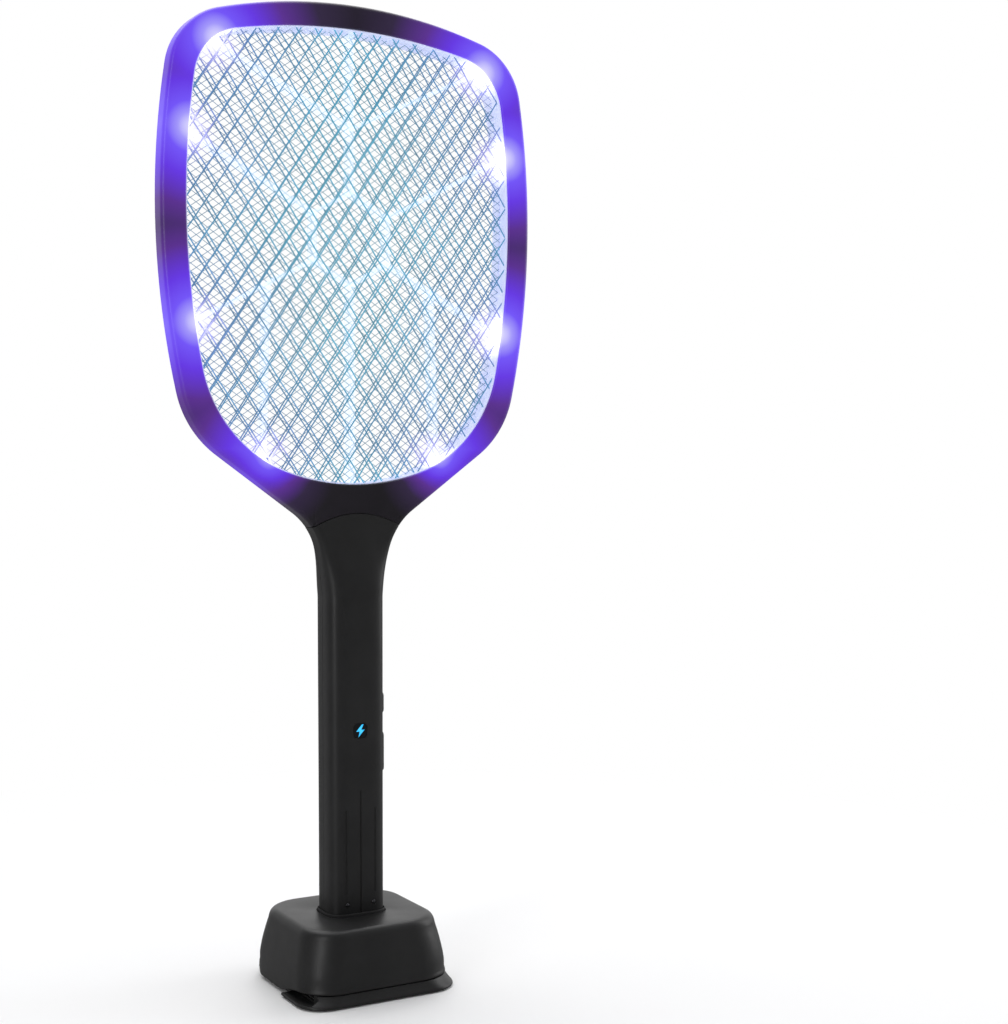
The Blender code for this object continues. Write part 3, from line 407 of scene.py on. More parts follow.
def ease_edges(obj, width):
    """Rounds the sharp edges, so that they catch the light."""
    modifier = obj.modifiers.new("eased_edges", "BEVEL")
    modifier.width = width * MM
    modifier.segments = 2
    modifier.limit_method = "ANGLE"
    modifier.angle_limit = math.radians(38)
    modifier.use_clamp_overlap = True
    apply_modifiers(obj)
    obj.data.shade_smooth()
    obj.data.set_sharp_from_angle(angle=math.radians(50))
    held = obj.modifiers.new("shading_held_by_large_faces", "WEIGHTED_NORMAL")
    held.keep_sharp = True
    apply_modifiers(obj)


def joined(name, pieces):
    """One object from several."""
    points, faces = [], []
    for piece in pieces:
        start = len(points)
        points += [tuple(v.co / MM) for v in piece.data.vertices]
        faces += [tuple(start + i for i in polygon.vertices) for polygon in piece.data.polygons]
        bpy.data.objects.remove(piece, do_unlink=True)
    return mesh_piece(name, points, faces)


def finish_piece(obj, body, slot_name, *nodes, look=None):
    """Ties the piece to its body, hides the nodes that it stands for, and gives it its slot's look, or the
    look passed in.
    """
    obj.data.materials.clear()
    obj.data.materials.append(look or SLOT_LOOKS[slot_name])
    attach(obj, body)
    if nodes:
        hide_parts(*nodes)


# ---- materials ----


class Nodes:
    """Short ways to add nodes to one node tree."""

    def __init__(self, tree):
        self.tree = tree

    def add(self, kind, **settings):
        made = self.tree.nodes.new(kind)
        for name, value in settings.items():
            setattr(made, name, value)
        return made

    def link(self, source, target):
        self.tree.links.new(source, target)

    def math(self, operation, a, b=None, c=None, clamp=False):
        made = self.add("ShaderNodeMath", operation=operation, use_clamp=clamp)
        for socket, value in zip(made.inputs, (a, b, c)):
            if value is None:
                continue
            if isinstance(value, (int, float)):
                socket.default_value = value
            else:
                self.link(value, socket)
        return made.outputs[0]

    def noise(self, where, scale, detail=2.0, roughness=0.5, stretch=None):
        """Noise in object space. The scale is features per metre."""
        if stretch:
            mapping = self.add("ShaderNodeMapping")
            mapping.inputs["Scale"].default_value = stretch
            self.link(where, mapping.inputs["Vector"])
            where = mapping.outputs["Vector"]
        made = self.add("ShaderNodeTexNoise")
        made.inputs["Scale"].default_value = scale
        made.inputs["Detail"].default_value = detail
        made.inputs["Roughness"].default_value = roughness
        self.link(where, made.inputs["Vector"])
        return made.outputs["Fac"]

    def ramp(self, value, stops):
        made = self.add("ShaderNodeValToRGB")
        elements = made.color_ramp.elements
        while len(elements) < len(stops):
            elements.new(0.5)
        for element, (position, colour) in zip(elements, stops):
            element.position = position
            element.color = (*colour, 1.0) if isinstance(colour, tuple) else (colour, colour, colour, 1.0)
        self.link(value, made.inputs["Fac"])
        return made.outputs["Color"]

    def mix(self, share, a, b):
        made = self.add("ShaderNodeMix", data_type="RGBA")
        for socket, value in ((made.inputs[0], share), (made.inputs[6], a), (made.inputs[7], b)):
            if isinstance(value, (int, float)):
                socket.default_value = value
            elif isinstance(value, tuple):
                socket.default_value = (*value, 1.0)
            else:
                self.link(value, socket)
        return made.outputs[2]

    def mix_shaders(self, share, first, second):
        made = self.add("ShaderNodeMixShader")
        for socket, source in zip(made.inputs, (share, first, second)):
            self.link(source, socket)
        return made.outputs[0]

    def glow(self, strength):
        made = self.add("ShaderNodeEmission")
        made.inputs["Strength"].default_value = strength
        return made.outputs[0]


class Look(Nodes):
    """A Principled material with its shader and its object coordinates."""

    def __init__(self, name, **settings):
        self.material = bpy.data.materials.new(name)
        self.material.use_nodes = True
        super().__init__(self.material.node_tree)
        self.shader = self.tree.nodes["Principled BSDF"]
        for socket, value in settings.items():
            socket = self.shader.inputs[socket.replace("_", " ")]
            socket.default_value = (*value, 1.0) if isinstance(value, tuple) else value
        self.where = self.add("ShaderNodeTexCoord").outputs["Object"]

    def feed(self, socket, source):
        self.link(source, self.shader.inputs[socket])

    def vary(self, colour, roughness, patch, shade, spread):
        """Slow changes of colour and roughness over the surface."""
        cloud = self.noise(self.where, patch, 4.0, 0.6)
        low = tuple(c * (1 - shade) for c in colour)
        high = tuple(min(1.0, c * (1 + shade)) for c in colour)
        self.feed("Base Color", self.ramp(cloud, ((0.3, low), (0.7, high))))
        handled = self.noise(self.where, patch * 3.1, 3.0, 0.65)
        self.feed("Roughness", self.math("MULTIPLY_ADD", handled, 2 * spread, roughness - spread))

    def grain(self, size, strength, distance=0.05, stretch=None):
        """Fine bump of grains about size millimetres across."""
        bump = self.add("ShaderNodeBump")
        bump.inputs["Strength"].default_value = strength
        bump.inputs["Distance"].default_value = distance * MM
        self.link(self.noise(self.where, 1.0 / (size * MM), 2.0, 0.55, stretch), bump.inputs["Height"])
        self.feed("Normal", bump.outputs["Normal"])

    def lamp_distance(self, reach):
        """0 at the nearest lamp and 1 at reach millimetres from it, with soft seams between lamps.

        The head's throat, which has no lamps, counts as further away than it is.
        """
        nearest = None
        for (x, z), (u, v) in lamp_places():
            apart = self.add("ShaderNodeVectorMath", operation="DISTANCE")
            glow_x, glow_z = x + u * GLOW_INWARD, z + v * GLOW_INWARD
            apart.inputs[1].default_value = (glow_x * MM, LAMP_Y * MM, glow_z * MM)
            self.link(self.where, apart.inputs[0])
            distance = apart.outputs["Value"]
            nearest = distance if nearest is None else self.math("SMOOTH_MIN", nearest, distance, 0.006)
        height = self.add("ShaderNodeSeparateXYZ")
        self.link(self.where, height.inputs[0])
        top, bottom = (z * MM for z in THROAT_Z)
        below = self.math("SUBTRACT", top, height.outputs["Z"])
        throat = self.math("DIVIDE", below, top - bottom, clamp=True)
        further = self.math("MULTIPLY_ADD", throat, THROAT_DIMMING, 1.0)
        return self.math("DIVIDE", self.math("MULTIPLY", nearest, further), reach * MM, clamp=True)

    def lamp_glow(self, reach, stops):
        """Light from the lamps carried by the material."""
        self.feed("Emission Color", self.ramp(self.lamp_distance(reach), stops))
        self.shader.inputs["Emission Strength"].default_value = 1.0


def lamp_places():
    """Each lamp's point on the opening's edge and its inward direction, clockwise from the upper right."""
    half = opening_half()
    places = []
    for degrees in LAMP_ANGLES:
        x, z = ray_hit(math.radians(degrees), half)
        before = ray_hit(math.radians(degrees + 3), half)
        after = ray_hit(math.radians(degrees - 3), half)
        tangent = Vector((after[0] - before[0], after[1] - before[1])).normalized()
        places.append(((x, z), (tangent.y, -tangent.x)))
    left = [((-x, z), (-u, v)) for (x, z), (u, v) in reversed(places)]
    return places + left


def head_plastic():
    look = Look("head_moulding", Specular_IOR_Level=0.4)
    look.vary((0.0120, 0.0095, 0.0150), 0.36, patch=30.0, shade=0.25, spread=0.05)
    look.grain(0.4, 0.12)
    # The light that the moulding gives off, by distance from the nearest lamp in millimetres: a white core,
    # then blue, violet and a dark violet that fades out.
    falloff = (
        (0, (1.0, 1.0, 1.0)),
        (4, (0.95, 0.95, 1.0)),
        (10, (0.35, 0.30, 0.95)),
        (15, (0.16, 0.08, 0.92)),
        (25, (0.12, 0.03, 0.75)),
        (40, (0.09, 0.02, 0.26)),
        (60, (0.02, 0.01, 0.04)),
        (90, (0.0, 0.0, 0.0)),
    )
    reach = falloff[-1][0]
    look.lamp_glow(reach, [(apart / reach, colour) for apart, colour in falloff])
    return look.material


def clear_plastic(name, colour, alpha, lit):
    """A milky plastic that glows white by the lamps and keeps a little of their light everywhere."""
    look = Look(name, Specular_IOR_Level=0.4, Alpha=alpha)
    look.vary(colour, 0.3, patch=50.0, shade=0.08, spread=0.06)
    look.grain(0.8, 0.15)
    between = tuple(0.6 * c + 0.15 for c in lit)
    stops = ((0.0, (1.0, 1.0, 1.0)), (0.3, (0.80, 0.78, 1.0)), (0.6, between), (1.0, lit))
    look.lamp_glow(26.0, stops)
    return look.material


def net_wire(name, colour, painted_lamp_tint, lit, roughness):
    """Wire that is teal far from the lamps and turns violet, then white, by them: painted lamp light, as a
    violet base colour near the lamps and a painted glow.
    """
    look = Look(name, Metallic=0.2)
    patch = look.noise(look.where, 45.0, 3.0, 0.6)
    tint = look.add("ShaderNodeVectorMath", operation="MULTIPLY")
    # Painted lamp light: the base colour is the violet tint near the lamps and the wire's own teal far from
    # them.
    look.link(look.mix(look.lamp_distance(70.0), painted_lamp_tint, colour), tint.inputs[0])
    look.link(look.ramp(patch, ((0.35, 0.8), (0.65, 1.25))), tint.inputs[1])
    look.feed("Base Color", tint.outputs["Vector"])
    rough = look.noise(look.where, 400.0, 2.0)
    look.feed("Roughness", look.math("MULTIPLY_ADD", rough, 0.2, roughness - 0.1))
    look.grain(0.3, 0.15, 0.02)
    # Painted glow: white by the lamps, then violet, and the faint lit colour everywhere else.
    stops = ((0.0, (1.0, 1.0, 1.0)), (0.28, (0.85, 0.84, 1.0)), (0.55, (0.26, 0.25, 0.50)), (1.0, lit))
    look.lamp_glow(19.0, stops)
    return look.material


def lamp_dome():
    glow = (0.86, 0.80, 1.0)
    look = Look("lamp_dome", Base_Color=(0.9, 0.86, 1.0), Roughness=0.12, Emission_Color=glow)
    flicker = look.noise(look.where, 900.0, 2.0)
    look.feed("Emission Strength", look.math("MULTIPLY_ADD", flicker, 1.0, 3.0))
    return look.material


def metal(name, colour, roughness):
    look = Look(name, Metallic=1.0)
    look.vary(colour, roughness, patch=200.0, shade=0.12, spread=0.08)
    look.grain(0.2, 0.25, 0.02, (1.0, 1.0, 0.15))
    return look.material


def moulded(name, colour, roughness, size, strength, patch=120.0, shade=0.18, spread=0.07, specular=0.5):
    """A plain surface with slow changes and a fine grain: the size and the strength are the grain's."""
    look = Look(name, Specular_IOR_Level=specular)
    look.vary(colour, roughness, patch, shade, spread)
    look.grain(size, strength)
    return look.material


def lit_bolt():
    look = Look("lit_bolt", Base_Color=(0.02, 0.35, 0.62), Roughness=0.3, Emission_Strength=1.0)
    soft = look.noise(look.where, 500.0, 2.0)
    look.feed("Emission Color", look.ramp(soft, ((0.3, (0.02, 0.36, 0.72)), (0.7, (0.07, 0.55, 0.90)))))
    return look.material


SLOT_LOOKS = {
    "head_plastic": head_plastic(),
    "black_plastic": moulded("black_moulding", (0.0150, 0.0150, 0.0155), 0.42, 0.35, 0.22,
                             patch=35.0, shade=0.2, spread=0.05, specular=0.40),
    "control_plastic": moulded("control_moulding", (0.0130, 0.0130, 0.0135), 0.46, 0.25, 0.2,
                               patch=80.0, shade=0.2, spread=0.05, specular=0.42),
    "safety_net_wire": net_wire("teal_wire", (0.07, 0.36, 0.50), (0.14, 0.13, 0.44), (0.035, 0.120, 0.175),
                                0.35),
    "centre_net_wire": net_wire("pale_wire", (0.16, 0.28, 0.34), (0.16, 0.15, 0.34), (0.050, 0.125, 0.160),
                                0.45),
    "clear_plastic": clear_plastic("milky_clear", (0.62, 0.66, 0.80), 0.88, (0.26, 0.27, 0.38)),
    "lamp_dome": lamp_dome(),
    "red_wire": moulded("red_lead", (0.45, 0.02, 0.015), 0.42, 0.6, 0.1),
    "black_wire": moulded("black_lead", (0.015, 0.015, 0.015), 0.45, 0.6, 0.1),
    "bright_steel": metal("bright_steel", (0.50, 0.50, 0.52), 0.34),
    "contact_gold": metal("contact_gold", (0.80, 0.58, 0.24), 0.26),
    "indicator_window": moulded("smoked_window", (0.004, 0.005, 0.006), 0.3, 1.5, 0.05,
                                patch=300.0, shade=0.3, spread=0.05, specular=0.35),
    "circuit_board": moulded("solder_mask", (0.02, 0.15, 0.06), 0.4, 1.2, 0.2),
    "component_plastic": moulded("component_body", (0.03, 0.03, 0.033), 0.5, 0.4, 0.25),
    "transformer_core": moulded("yellow_tape", (0.62, 0.42, 0.04), 0.45, 1.0, 0.2),
    "capacitor_film": moulded("film_body", (0.03, 0.11, 0.42), 0.3, 1.0, 0.1),
    "cell_wrap": moulded("cell_sleeve", (0.02, 0.22, 0.32), 0.3, 2.0, 0.1),
    "rubber": moulded("soft_rubber", (0.010, 0.010, 0.011), 0.72, 0.5, 0.35),
    "ballast_iron": moulded("iron_plate", (0.16, 0.16, 0.17), 0.6, 0.8, 0.4),
}
# Looks of pieces that differ from the rest of their slot.
THIN_CLEAR = clear_plastic("thin_clear", (0.80, 0.86, 0.92), 0.24, (0.46, 0.56, 0.68))
SLATE_WIRE = net_wire("slate_wire", (0.10, 0.30, 0.40), (0.14, 0.12, 0.36), (0.050, 0.130, 0.170), 0.4)
DARK_STEEL = metal("darkened_steel", (0.10, 0.10, 0.11), 0.42)
LIT_BOLT = lit_bolt()


def dress_frame_nodes():
    """Every CAD node that stays in view takes its slot's look."""
    for subpart in frame["record"]["subparts"]:
        node = frame["nodes"][subpart["node"]]
        look = SLOT_LOOKS[subpart["material_slot"]]
        node.data.materials.clear()
        node.data.materials.append(look)


# ---- head ----


def frame_section(width, side, walled):
    """The head's section, as (distance out from the opening, y): a crowned face, a rounded edge and a wall.

    Over the handle's joint there is no wall, and the face ends in a flange.
    """
    face = HEAD_FACE[side]
    inner_edge = fillet((0.0, face - LIP_EASE[1]), (0.0, face), (LIP_EASE[0], face), 5)
    if walled:
        roll = fillet(*((width - inset, y) for inset, y in EDGE_ROLL[side]), 9)
        outside = roll + [(width, SEAM / 2)]
        back = fillet(*((width - max(inset, 0.4) - WALL, y - WALL) for inset, y in EDGE_ROLL[side]), 2)
        inside = [(width - WALL, SEAM / 2)] + back[::-1][1:]
    else:
        outside = [(width - FLANGE + 0.1 * FLANGE * k, face) for k in range(10)] + [(width, face - 0.05)]
        inside = [(width - inset, face - WALL) for inset in (0.0, 0.5, FLANGE - 0.8)]
    points = [(0.0, LIP_Y)] + inner_edge + outside + inside + [(LIP_WIDTH, LIP_Y)]
    return [(out, side * y) for out, y in points]


def head_height(inset, side):
    """The head section's height at a distance in from its edge."""
    (start, high), (middle, corner), (_, low) = EDGE_ROLL[side]
    if inset >= start:
        return HEAD_FACE[side]
    bend = start - 2 * middle
    share = (math.sqrt(middle * middle + bend * max(inset, 0.0)) - middle) / bend
    return high * share**2 + 2 * corner * share * (1 - share) + low * (1 - share) ** 2


def head_frame(name, side, node):
    opening = opening_half()
    edge = [point for point in OUTER_EDGE if point[1] > JOINT_SIDE_Z] + joint_arc()
    joint_x, joint_z = joint_arc()[0]
    joint_angle = math.atan2(joint_z - HEAD_CENTRE_Z, joint_x)
    angles = sorted({math.atan2(z - HEAD_CENTRE_Z, x) for x, z in opening + edge if x > 1e-6}, reverse=True)
    # The rays up and down the axis need lines that reach just past it.
    near, far = ([(-1e-6, line[0][1])] + line[1:-1] + [(-1e-6, line[-1][1])] for line in (opening, edge))
    half = []
    for angle in [math.pi / 2] + angles + [-math.pi / 2]:
        inner = Vector(ray_hit(angle, near))
        outer = Vector(ray_hit(angle, far))
        outward = (outer - inner).normalized()
        section = []
        walled = angle > joint_angle - 1e-6
        for out, y in frame_section((outer - inner).length, side, walled):
            flat = inner + outward * out
            drop = 0.0 if walled else HEAD_FACE[side] - head_height(side_width(flat.y) - flat.x, side)
            section.append((flat.x, side * max(SEAM / 2, abs(y) - drop), flat.y))
        half.append(section)
    for section in (half[0], half[-1]):
        section[:] = [(0.0, y, z) for _, y, z in section]
    other = [[(-x, y, z) for x, y, z in section] for section in reversed(half[1:-1])]
    piece = loft(name, half + other, closed_path=True, sharp=50)
    finish_piece(piece, "racket", "head_plastic", node)


def clip_line(start, direction, outline):
    """Where a line crosses a convex outline, as two distances from start, or None."""
    hits = crossings(start, direction, outline + outline[:1])
    found = [along for along, share in hits if 0 <= share < 1]
    return (min(found), max(found)) if len(found) > 1 else None


def tube(path, radius, sides):
    """Points and faces of a round wire with closed ends, along a path near one upright plane."""
    first, last = Vector(path[0]), Vector(path[-1])
    along = (last - first).normalized()
    across = along.cross(Vector((0, 1, 0))).normalized()
    points = []
    for point in path:
        for k in range(sides):
            angle = 2 * math.pi * (k + 0.5) / sides
            around = across * math.cos(angle) + Vector((0, 1, 0)) * math.sin(angle)
            points.append(Vector(point) + radius * around)
    faces = [tuple(range(sides)), tuple((len(path) - 1) * sides + k for k in reversed(range(sides)))]
    for row in range(len(path) - 1):
        for k in range(sides):
            j = (k + 1) % sides
            faces.append((row * sides + j, row * sides + k, (row + 1) * sides + k, (row + 1) * sides + j))
    return points, faces


def net(name, diamond, crossing, y, radius, sides, weave, slot_name, node, look=None):
    """Two families of wires that cross in diamonds, waved over and under each other by weave, or straight."""
    outline = mirrored(opening_half(NET_REACH))
    half = (diamond[0] / 2, diamond[1] / 2)
    apart = math.hypot(*half)
    step = apart / 2
    count = int(NET_SPAN / diamond[0])
    points, faces = [], []
    for lean in (1, -1):
        direction = (lean * half[0] / apart, half[1] / apart)
        for k in range(-count, count + 1):
            start = (crossing[0] + k * diamond[0], crossing[1])
            ends = clip_line(start, direction, outline)
            if not ends or ends[1] - ends[0] < SHORTEST_WIRE:
                continue
            stations = list(ends)
            if weave:
                bends = range(math.ceil(ends[0] / step), math.floor(ends[1] / step) + 1)
                stations[1:1] = [bend * step for bend in bends]
            path = []
            for t in stations:
                lift = weave * lean * math.cos(math.pi * t / apart) if weave else radius * 0.9 * lean
                path.append((start[0] + direction[0] * t, y + lift, start[1] + direction[1] * t))
            wire_points, wire_faces = tube(path, radius, sides)
            faces += [tuple(len(points) + i for i in face) for face in wire_faces]
            points += wire_points
    finish_piece(mesh_piece(name, points, faces), "racket", slot_name, node, look=look)


def rib_lines():
    """The ribs' centre lines on the right-hand side and on the axis, each as two (x, z) ends."""
    hexagon = []
    for k in range(6):
        angle = math.radians(60 * k)
        hexagon.append((HEXAGON_RADIUS * math.sin(angle), HEXAGON_Z + HEXAGON_RADIUS * math.cos(angle)))
    opening = opening_half(1.0)
    fork = (0.0, HEXAGON_Z + HEXAGON_RADIUS * FORK_HEIGHT)
    lamps = [ray_hit(math.radians(angle), opening) for angle in LAMP_ANGLES]
    corner_up, side_up, side_down, corner_down = lamps
    branch = tuple(a + BRANCH_SHARE * (b - a) for a, b in zip(hexagon[2], side_down))
    axis = [(hexagon[0], (0.0, OPENING_TOP + 1.0)), (hexagon[3], (0.0, opening[-1][1]))]
    right = [
        (hexagon[0], hexagon[1]),
        (hexagon[1], hexagon[2]),
        (hexagon[2], hexagon[3]),
        (hexagon[1], side_up),
        (hexagon[2], side_down),
        (fork, corner_up),
        (branch, corner_down),
    ]
    return axis, right


def rib(name, start, end, side):
    """A straight rib whose front edge is rounded."""
    start, end = Vector(start), Vector(end)
    along = (end - start).normalized()
    across = Vector((-along.y, along.x))
    start = start - along * RIB_WIDTH * 0.3
    half = RIB_WIDTH / 2
    profile = [(half, RIB_Y - RIB_DEPTH), (half, RIB_Y - 0.7)]
    profile += fillet((half, RIB_Y - 0.7), (half, RIB_Y), (0.0, RIB_Y), 4)[1:]
    profile += [(-u, y) for u, y in reversed(profile[:-1])]
    sections = []
    for point in (start, end):
        flats = [(point + across * u, y) for u, y in profile]
        sections.append([(flat.x, side * y, flat.y) for flat, y in flats])
    return loft(name, sections)


def support_ring(side, node):
    """The milky ring that spreads the nets, with its liner, net guides and ribs."""
    tag = "front" if side < 0 else "rear"
    pieces = []
    liner_reach = [-inset for inset in LINER_INSET]
    for part, reach, ys, bevel in (("ring", RING_REACH, RING_Y, 0.3), ("liner", liner_reach, LINER_Y, 0.12)):
        outlines = [mirrored(opening_half(grow)) for grow in reach]
        pieces.append(hollow_prism(f"{tag}_{part}", *outlines, *sorted(side * y for y in ys), bevel))
    pieces += net_guides(tag, side)
    finish_piece(joined(f"{tag}_support_ring_milky", pieces), "racket", "clear_plastic", node)
    axis, right = rib_lines()
    left = [((-a[0], a[1]), (-b[0], b[1])) for a, b in right]
    ribs = [rib(f"{tag}_rib_{k}", start, end, side) for k, (start, end) in enumerate(axis + right + left)]
    finish_piece(joined(f"{tag}_net_ribs", ribs), "racket", "clear_plastic", look=THIN_CLEAR)


def net_guides(tag, side):
    """Small upright ridges across the liner that keep the nets apart."""
    outline = mirrored(opening_half(-LINER_INSET[1]))
    lengths = [math.dist(a, b) for a, b in zip(outline, outline[1:] + outline[:1])]
    total = sum(lengths)
    guides = []
    travelled, edge = 0.0, 0
    for number in range(GUIDE_COUNT):
        goal = total * (number + 0.5) / GUIDE_COUNT
        while travelled + lengths[edge] < goal:
            travelled += lengths[edge]
            edge += 1
        a, b = Vector(outline[edge]), Vector(outline[(edge + 1) % len(outline)])
        along = (b - a).normalized()
        inward = Vector((along.y, -along.x))
        centre = a + along * (goal - travelled)
        corners = [centre + along * u + inward * v for u, v in GUIDE_SHAPE]
        guides.append(upright_prism(f"{tag}_guide_{number}", corners, *sorted(side * y for y in GUIDE_Y)))
    return guides


def lamp(number, place, inward):
    """A dome on a short collar."""
    (x, z), (u, v) = place, inward
    r = LAMP_RADIUS
    profile = [(0, -4.2), (r + 0.4, -4.2), (r + 0.4, -3.3), (r, -3.1), (r, 0.6)]
    profile += [(r * math.cos(angle), 0.6 + r * math.sin(angle)) for angle in quarter_turn(8)[:-1]]
    profile.append((0, 0.6 + r))
    dome = turned(f"uv_lamp_{number}_dome", profile, (x, LAMP_Y, z), (u, 0, v), sides=24, sharp=60)
    finish_piece(dome, "racket", "lamp_dome", f"uv_lamp_{number}")


def head():
    head_frame("head_front_moulding", -1, "head_front_frame")
    head_frame("head_rear_moulding", 1, "head_rear_frame")
    net("front_net_wires", SAFETY_DIAMOND, FRONT_CROSSING, -NET_Y, SAFETY_WIRE, 6, WEAVE,
        "safety_net_wire", "front_safety_net")
    net("rear_net_wires", SAFETY_DIAMOND, REAR_CROSSING, NET_Y, SAFETY_WIRE, 6, WEAVE,
        "safety_net_wire", "rear_safety_net", look=SLATE_WIRE)
    net("high_voltage_wires", HIGH_VOLTAGE_DIAMOND, HIGH_VOLTAGE_CROSSING, 0.0, HIGH_VOLTAGE_WIRE, 5, 0.0,
        "centre_net_wire", "high_voltage_net")
    support_ring(-1, "front_support_ring")
    support_ring(1, "rear_support_ring")
    for number, (place, inward) in enumerate(lamp_places(), 1):
        lamp(number, place, inward)


# ---- handle ----


def handle_half_section(half_width, half_depth, side, z_middle, z_side, likeness=0.0):
    """A U section of one shell, out and back. Its height bows from the sides to the middle, and likeness 1
    gives it the head's section."""
    section = []
    for wall, order in ((0.0, 1), (HANDLE_WALL, -1)):
        run = []
        for step in range(HANDLE_STEPS + 1):
            angle = math.pi * step / HANDLE_STEPS
            x, y = superellipse(half_width - wall, half_depth - wall - SEAM / 2, angle)
            height = abs(y)
            if 0 < step < HANDLE_STEPS:
                like_head = head_height(half_width - wall - abs(x), side) + NECK_PROUD - wall
                height += (max(0.0, like_head) - height) * likeness
            bow = 1 - (x / half_width) ** 2
            run.append((x, side * (height + SEAM / 2), z_side + (z_middle - z_side) * bow))
        section += run[::order]
    return section


def handle_skin(name, side):
    sections = []
    for row in range(NECK_ROWS + 1):
        share = row / NECK_ROWS
        z_side = JOINT_SIDE_Z - JOINT_GAP + (NECK_END_Z - JOINT_SIDE_Z + JOINT_GAP) * share
        z_middle = JOINT_TOP_Z - JOINT_GAP + (NECK_END_Z - JOINT_TOP_Z + JOINT_GAP) * share
        swell = 0.5 - 0.5 * math.cos(math.pi * min(1.0, share * 1.1))
        neck_depth = HEAD_FACE[side] + NECK_PROUD
        depth = neck_depth + (HANDLE_HALF_DEPTH - neck_depth) * swell
        sections.append(handle_half_section(side_width(z_side), depth, side, z_middle, z_side, 1.0 - swell))
    for z in (SHELL_BOTTOM + 60, SHELL_BOTTOM):
        sections.append(handle_half_section(HANDLE_HALF_WIDTH, HANDLE_HALF_DEPTH, side, z, z))
    return loft(name, sections, thin=True)


def neck_tongue(name, side):
    """The handle's tongue inside the head's skirt, which closes the parting arc from behind."""
    sections = []
    for rise in (-5.0, 3.0):
        z_side, z_middle = JOINT_SIDE_Z + rise, JOINT_TOP_Z + rise
        width = side_width(min(z_side, JOINT_SIDE_Z)) - HANDLE_WALL - 0.6
        depth = HEAD_FACE[side] - HANDLE_WALL - 0.2
        sections.append(handle_half_section(width, depth, side, z_middle, z_side))
    return loft(name, sections, thin=True)


def slot_cutters():
    """Openings for the two controls, with room for the mode knob's travel."""
    cutters = []
    for name, z_low, z_high in CONTROL_SLOTS:
        half_length = (z_high - z_low) / 2 + CONTROL_GAP
        outline = rounded_rectangle(CONTROL_HALF_HEIGHT + CONTROL_GAP, half_length, 2.6, 8)
        middle = (z_low + z_high) / 2
        cutters.append(loft(name, [[(x, y, middle + z) for y, z in outline] for x in (10.0, 20.0)]))
    return cutters


def groove_cutter(name, x, z_low, z_high, width, depth):
    radius = width / 2
    outline = []
    for end, sign in ((z_high - radius, 1), (z_low + radius, -1)):
        for step in range(9):
            angle = math.pi * step / 8
            outline.append((x + sign * radius * math.cos(angle), end + sign * radius * math.sin(angle)))
    return upright_prism(name, outline, -HANDLE_HALF_DEPTH - 1.0, -HANDLE_HALF_DEPTH + depth)


def shell(name, side, cutters, node):
    piece = handle_skin(name, side)
    cut(piece, cutters)
    ease_edges(piece, 0.25)
    finish_piece(piece, "racket", "black_plastic", node)


def front_shell():
    cutters = slot_cutters()
    half = WINDOW_HALF + 0.12
    opening = [(x, WINDOW_Z + z) for x, z in rounded_rectangle(half, half, 2.42, 8)]
    cutters.append(upright_prism("window_hole", opening, -14.0, -9.0))
    for tag, side in (("left", -1), ("right", 1)):
        cutters.append(groove_cutter(f"groove_{tag}", side * GROOVE_X, *GROOVE_Z, 1.4, 0.7))
        hole = [(0, 9), (RIVET_RADIUS + 0.3, 9), (RIVET_RADIUS + 0.3, 15), (0, 15)]
        cutters.append(turned(f"rivet_hole_{tag}", hole, (side * RIVET[0], 0, RIVET[1]), (0, -1, 0)))
    cutters.append(groove_cutter("groove_middle", 0.0, *CENTRE_GROOVE_Z, 0.8, 0.5))
    shell("handle_front_moulding", -1, cutters, "handle_front_shell")


def rear_shell():
    cutters = slot_cutters()
    for number, z in enumerate(SCREW_Z):
        recess = [(0, 6), (1.5, 6), (1.5, 11.2), (3.1, 11.2), (3.1, 15), (0, 15)]
        cutters.append(turned(f"screw_recess_{number}", recess, (0, 0, z), (0, 1, 0)))
    shell("handle_rear_moulding", 1, cutters, "handle_rear_shell")


def handle():
    front_shell()
    rear_shell()
    for name, side in (("neck_tongue_front", -1), ("neck_tongue_rear", 1)):
        finish_piece(neck_tongue(name, side), "racket", "black_plastic")
    controls()
    window()
    rivets()
    screws()


def control_ring(x, z_low, z_high, inset):
    outline = rounded_rectangle(CONTROL_HALF_HEIGHT - inset, (z_high - z_low) / 2 - inset, 2.4 - inset, 8)
    return [(x, y, (z_low + z_high) / 2 + z) for y, z in outline]


def control(name, z_low, z_high, ridges, body, node):
    """A cap with a rounded edge, ridges for the thumb, a flange behind the slot and a stem."""
    proud = HANDLE_HALF_WIDTH + CONTROL_PROUD
    shoulder = proud - CONTROL_ROLL
    sections = [control_ring(13.0, z_low, z_high, 0.0), control_ring(shoulder, z_low, z_high, 0.0)]
    for angle in quarter_turn(6):
        inset = CONTROL_ROLL - CONTROL_ROLL * math.cos(angle)
        sections.append(control_ring(shoulder + CONTROL_ROLL * math.sin(angle), z_low, z_high, inset))
    middle = (z_low + z_high) / 2
    pieces = [loft(name + "_cap", sections)]
    pieces.append(box(name + "_flange", (12.2, -5.5, z_low - 1.2), (13.2, 5.5, z_high + 1.2)))
    pieces.append(box(name + "_stem", (10.7, -0.5, middle - 1.5), (12.6, 2.5, middle + 1.5)))
    root, crest = proud - 0.4, proud + 0.25
    for k in range(ridges):
        z = middle + (k - (ridges - 1) / 2) * 2.0
        outline = [(root, z - 0.45), (crest, z - 0.18), (crest, z + 0.18), (root, z + 0.45)]
        pieces.append(upright_prism(f"{name}_ridge_{k}", outline, -2.6, 2.6))
    finish_piece(joined(name, pieces), body, "control_plastic", node)


def controls():
    control("zap_button_cap", *ZAP_Z, 0, "zap_button", "zap_button")
    control("mode_knob_cap", *MODE_Z, 3, "mode_switch_knob", "mode_switch_knob")


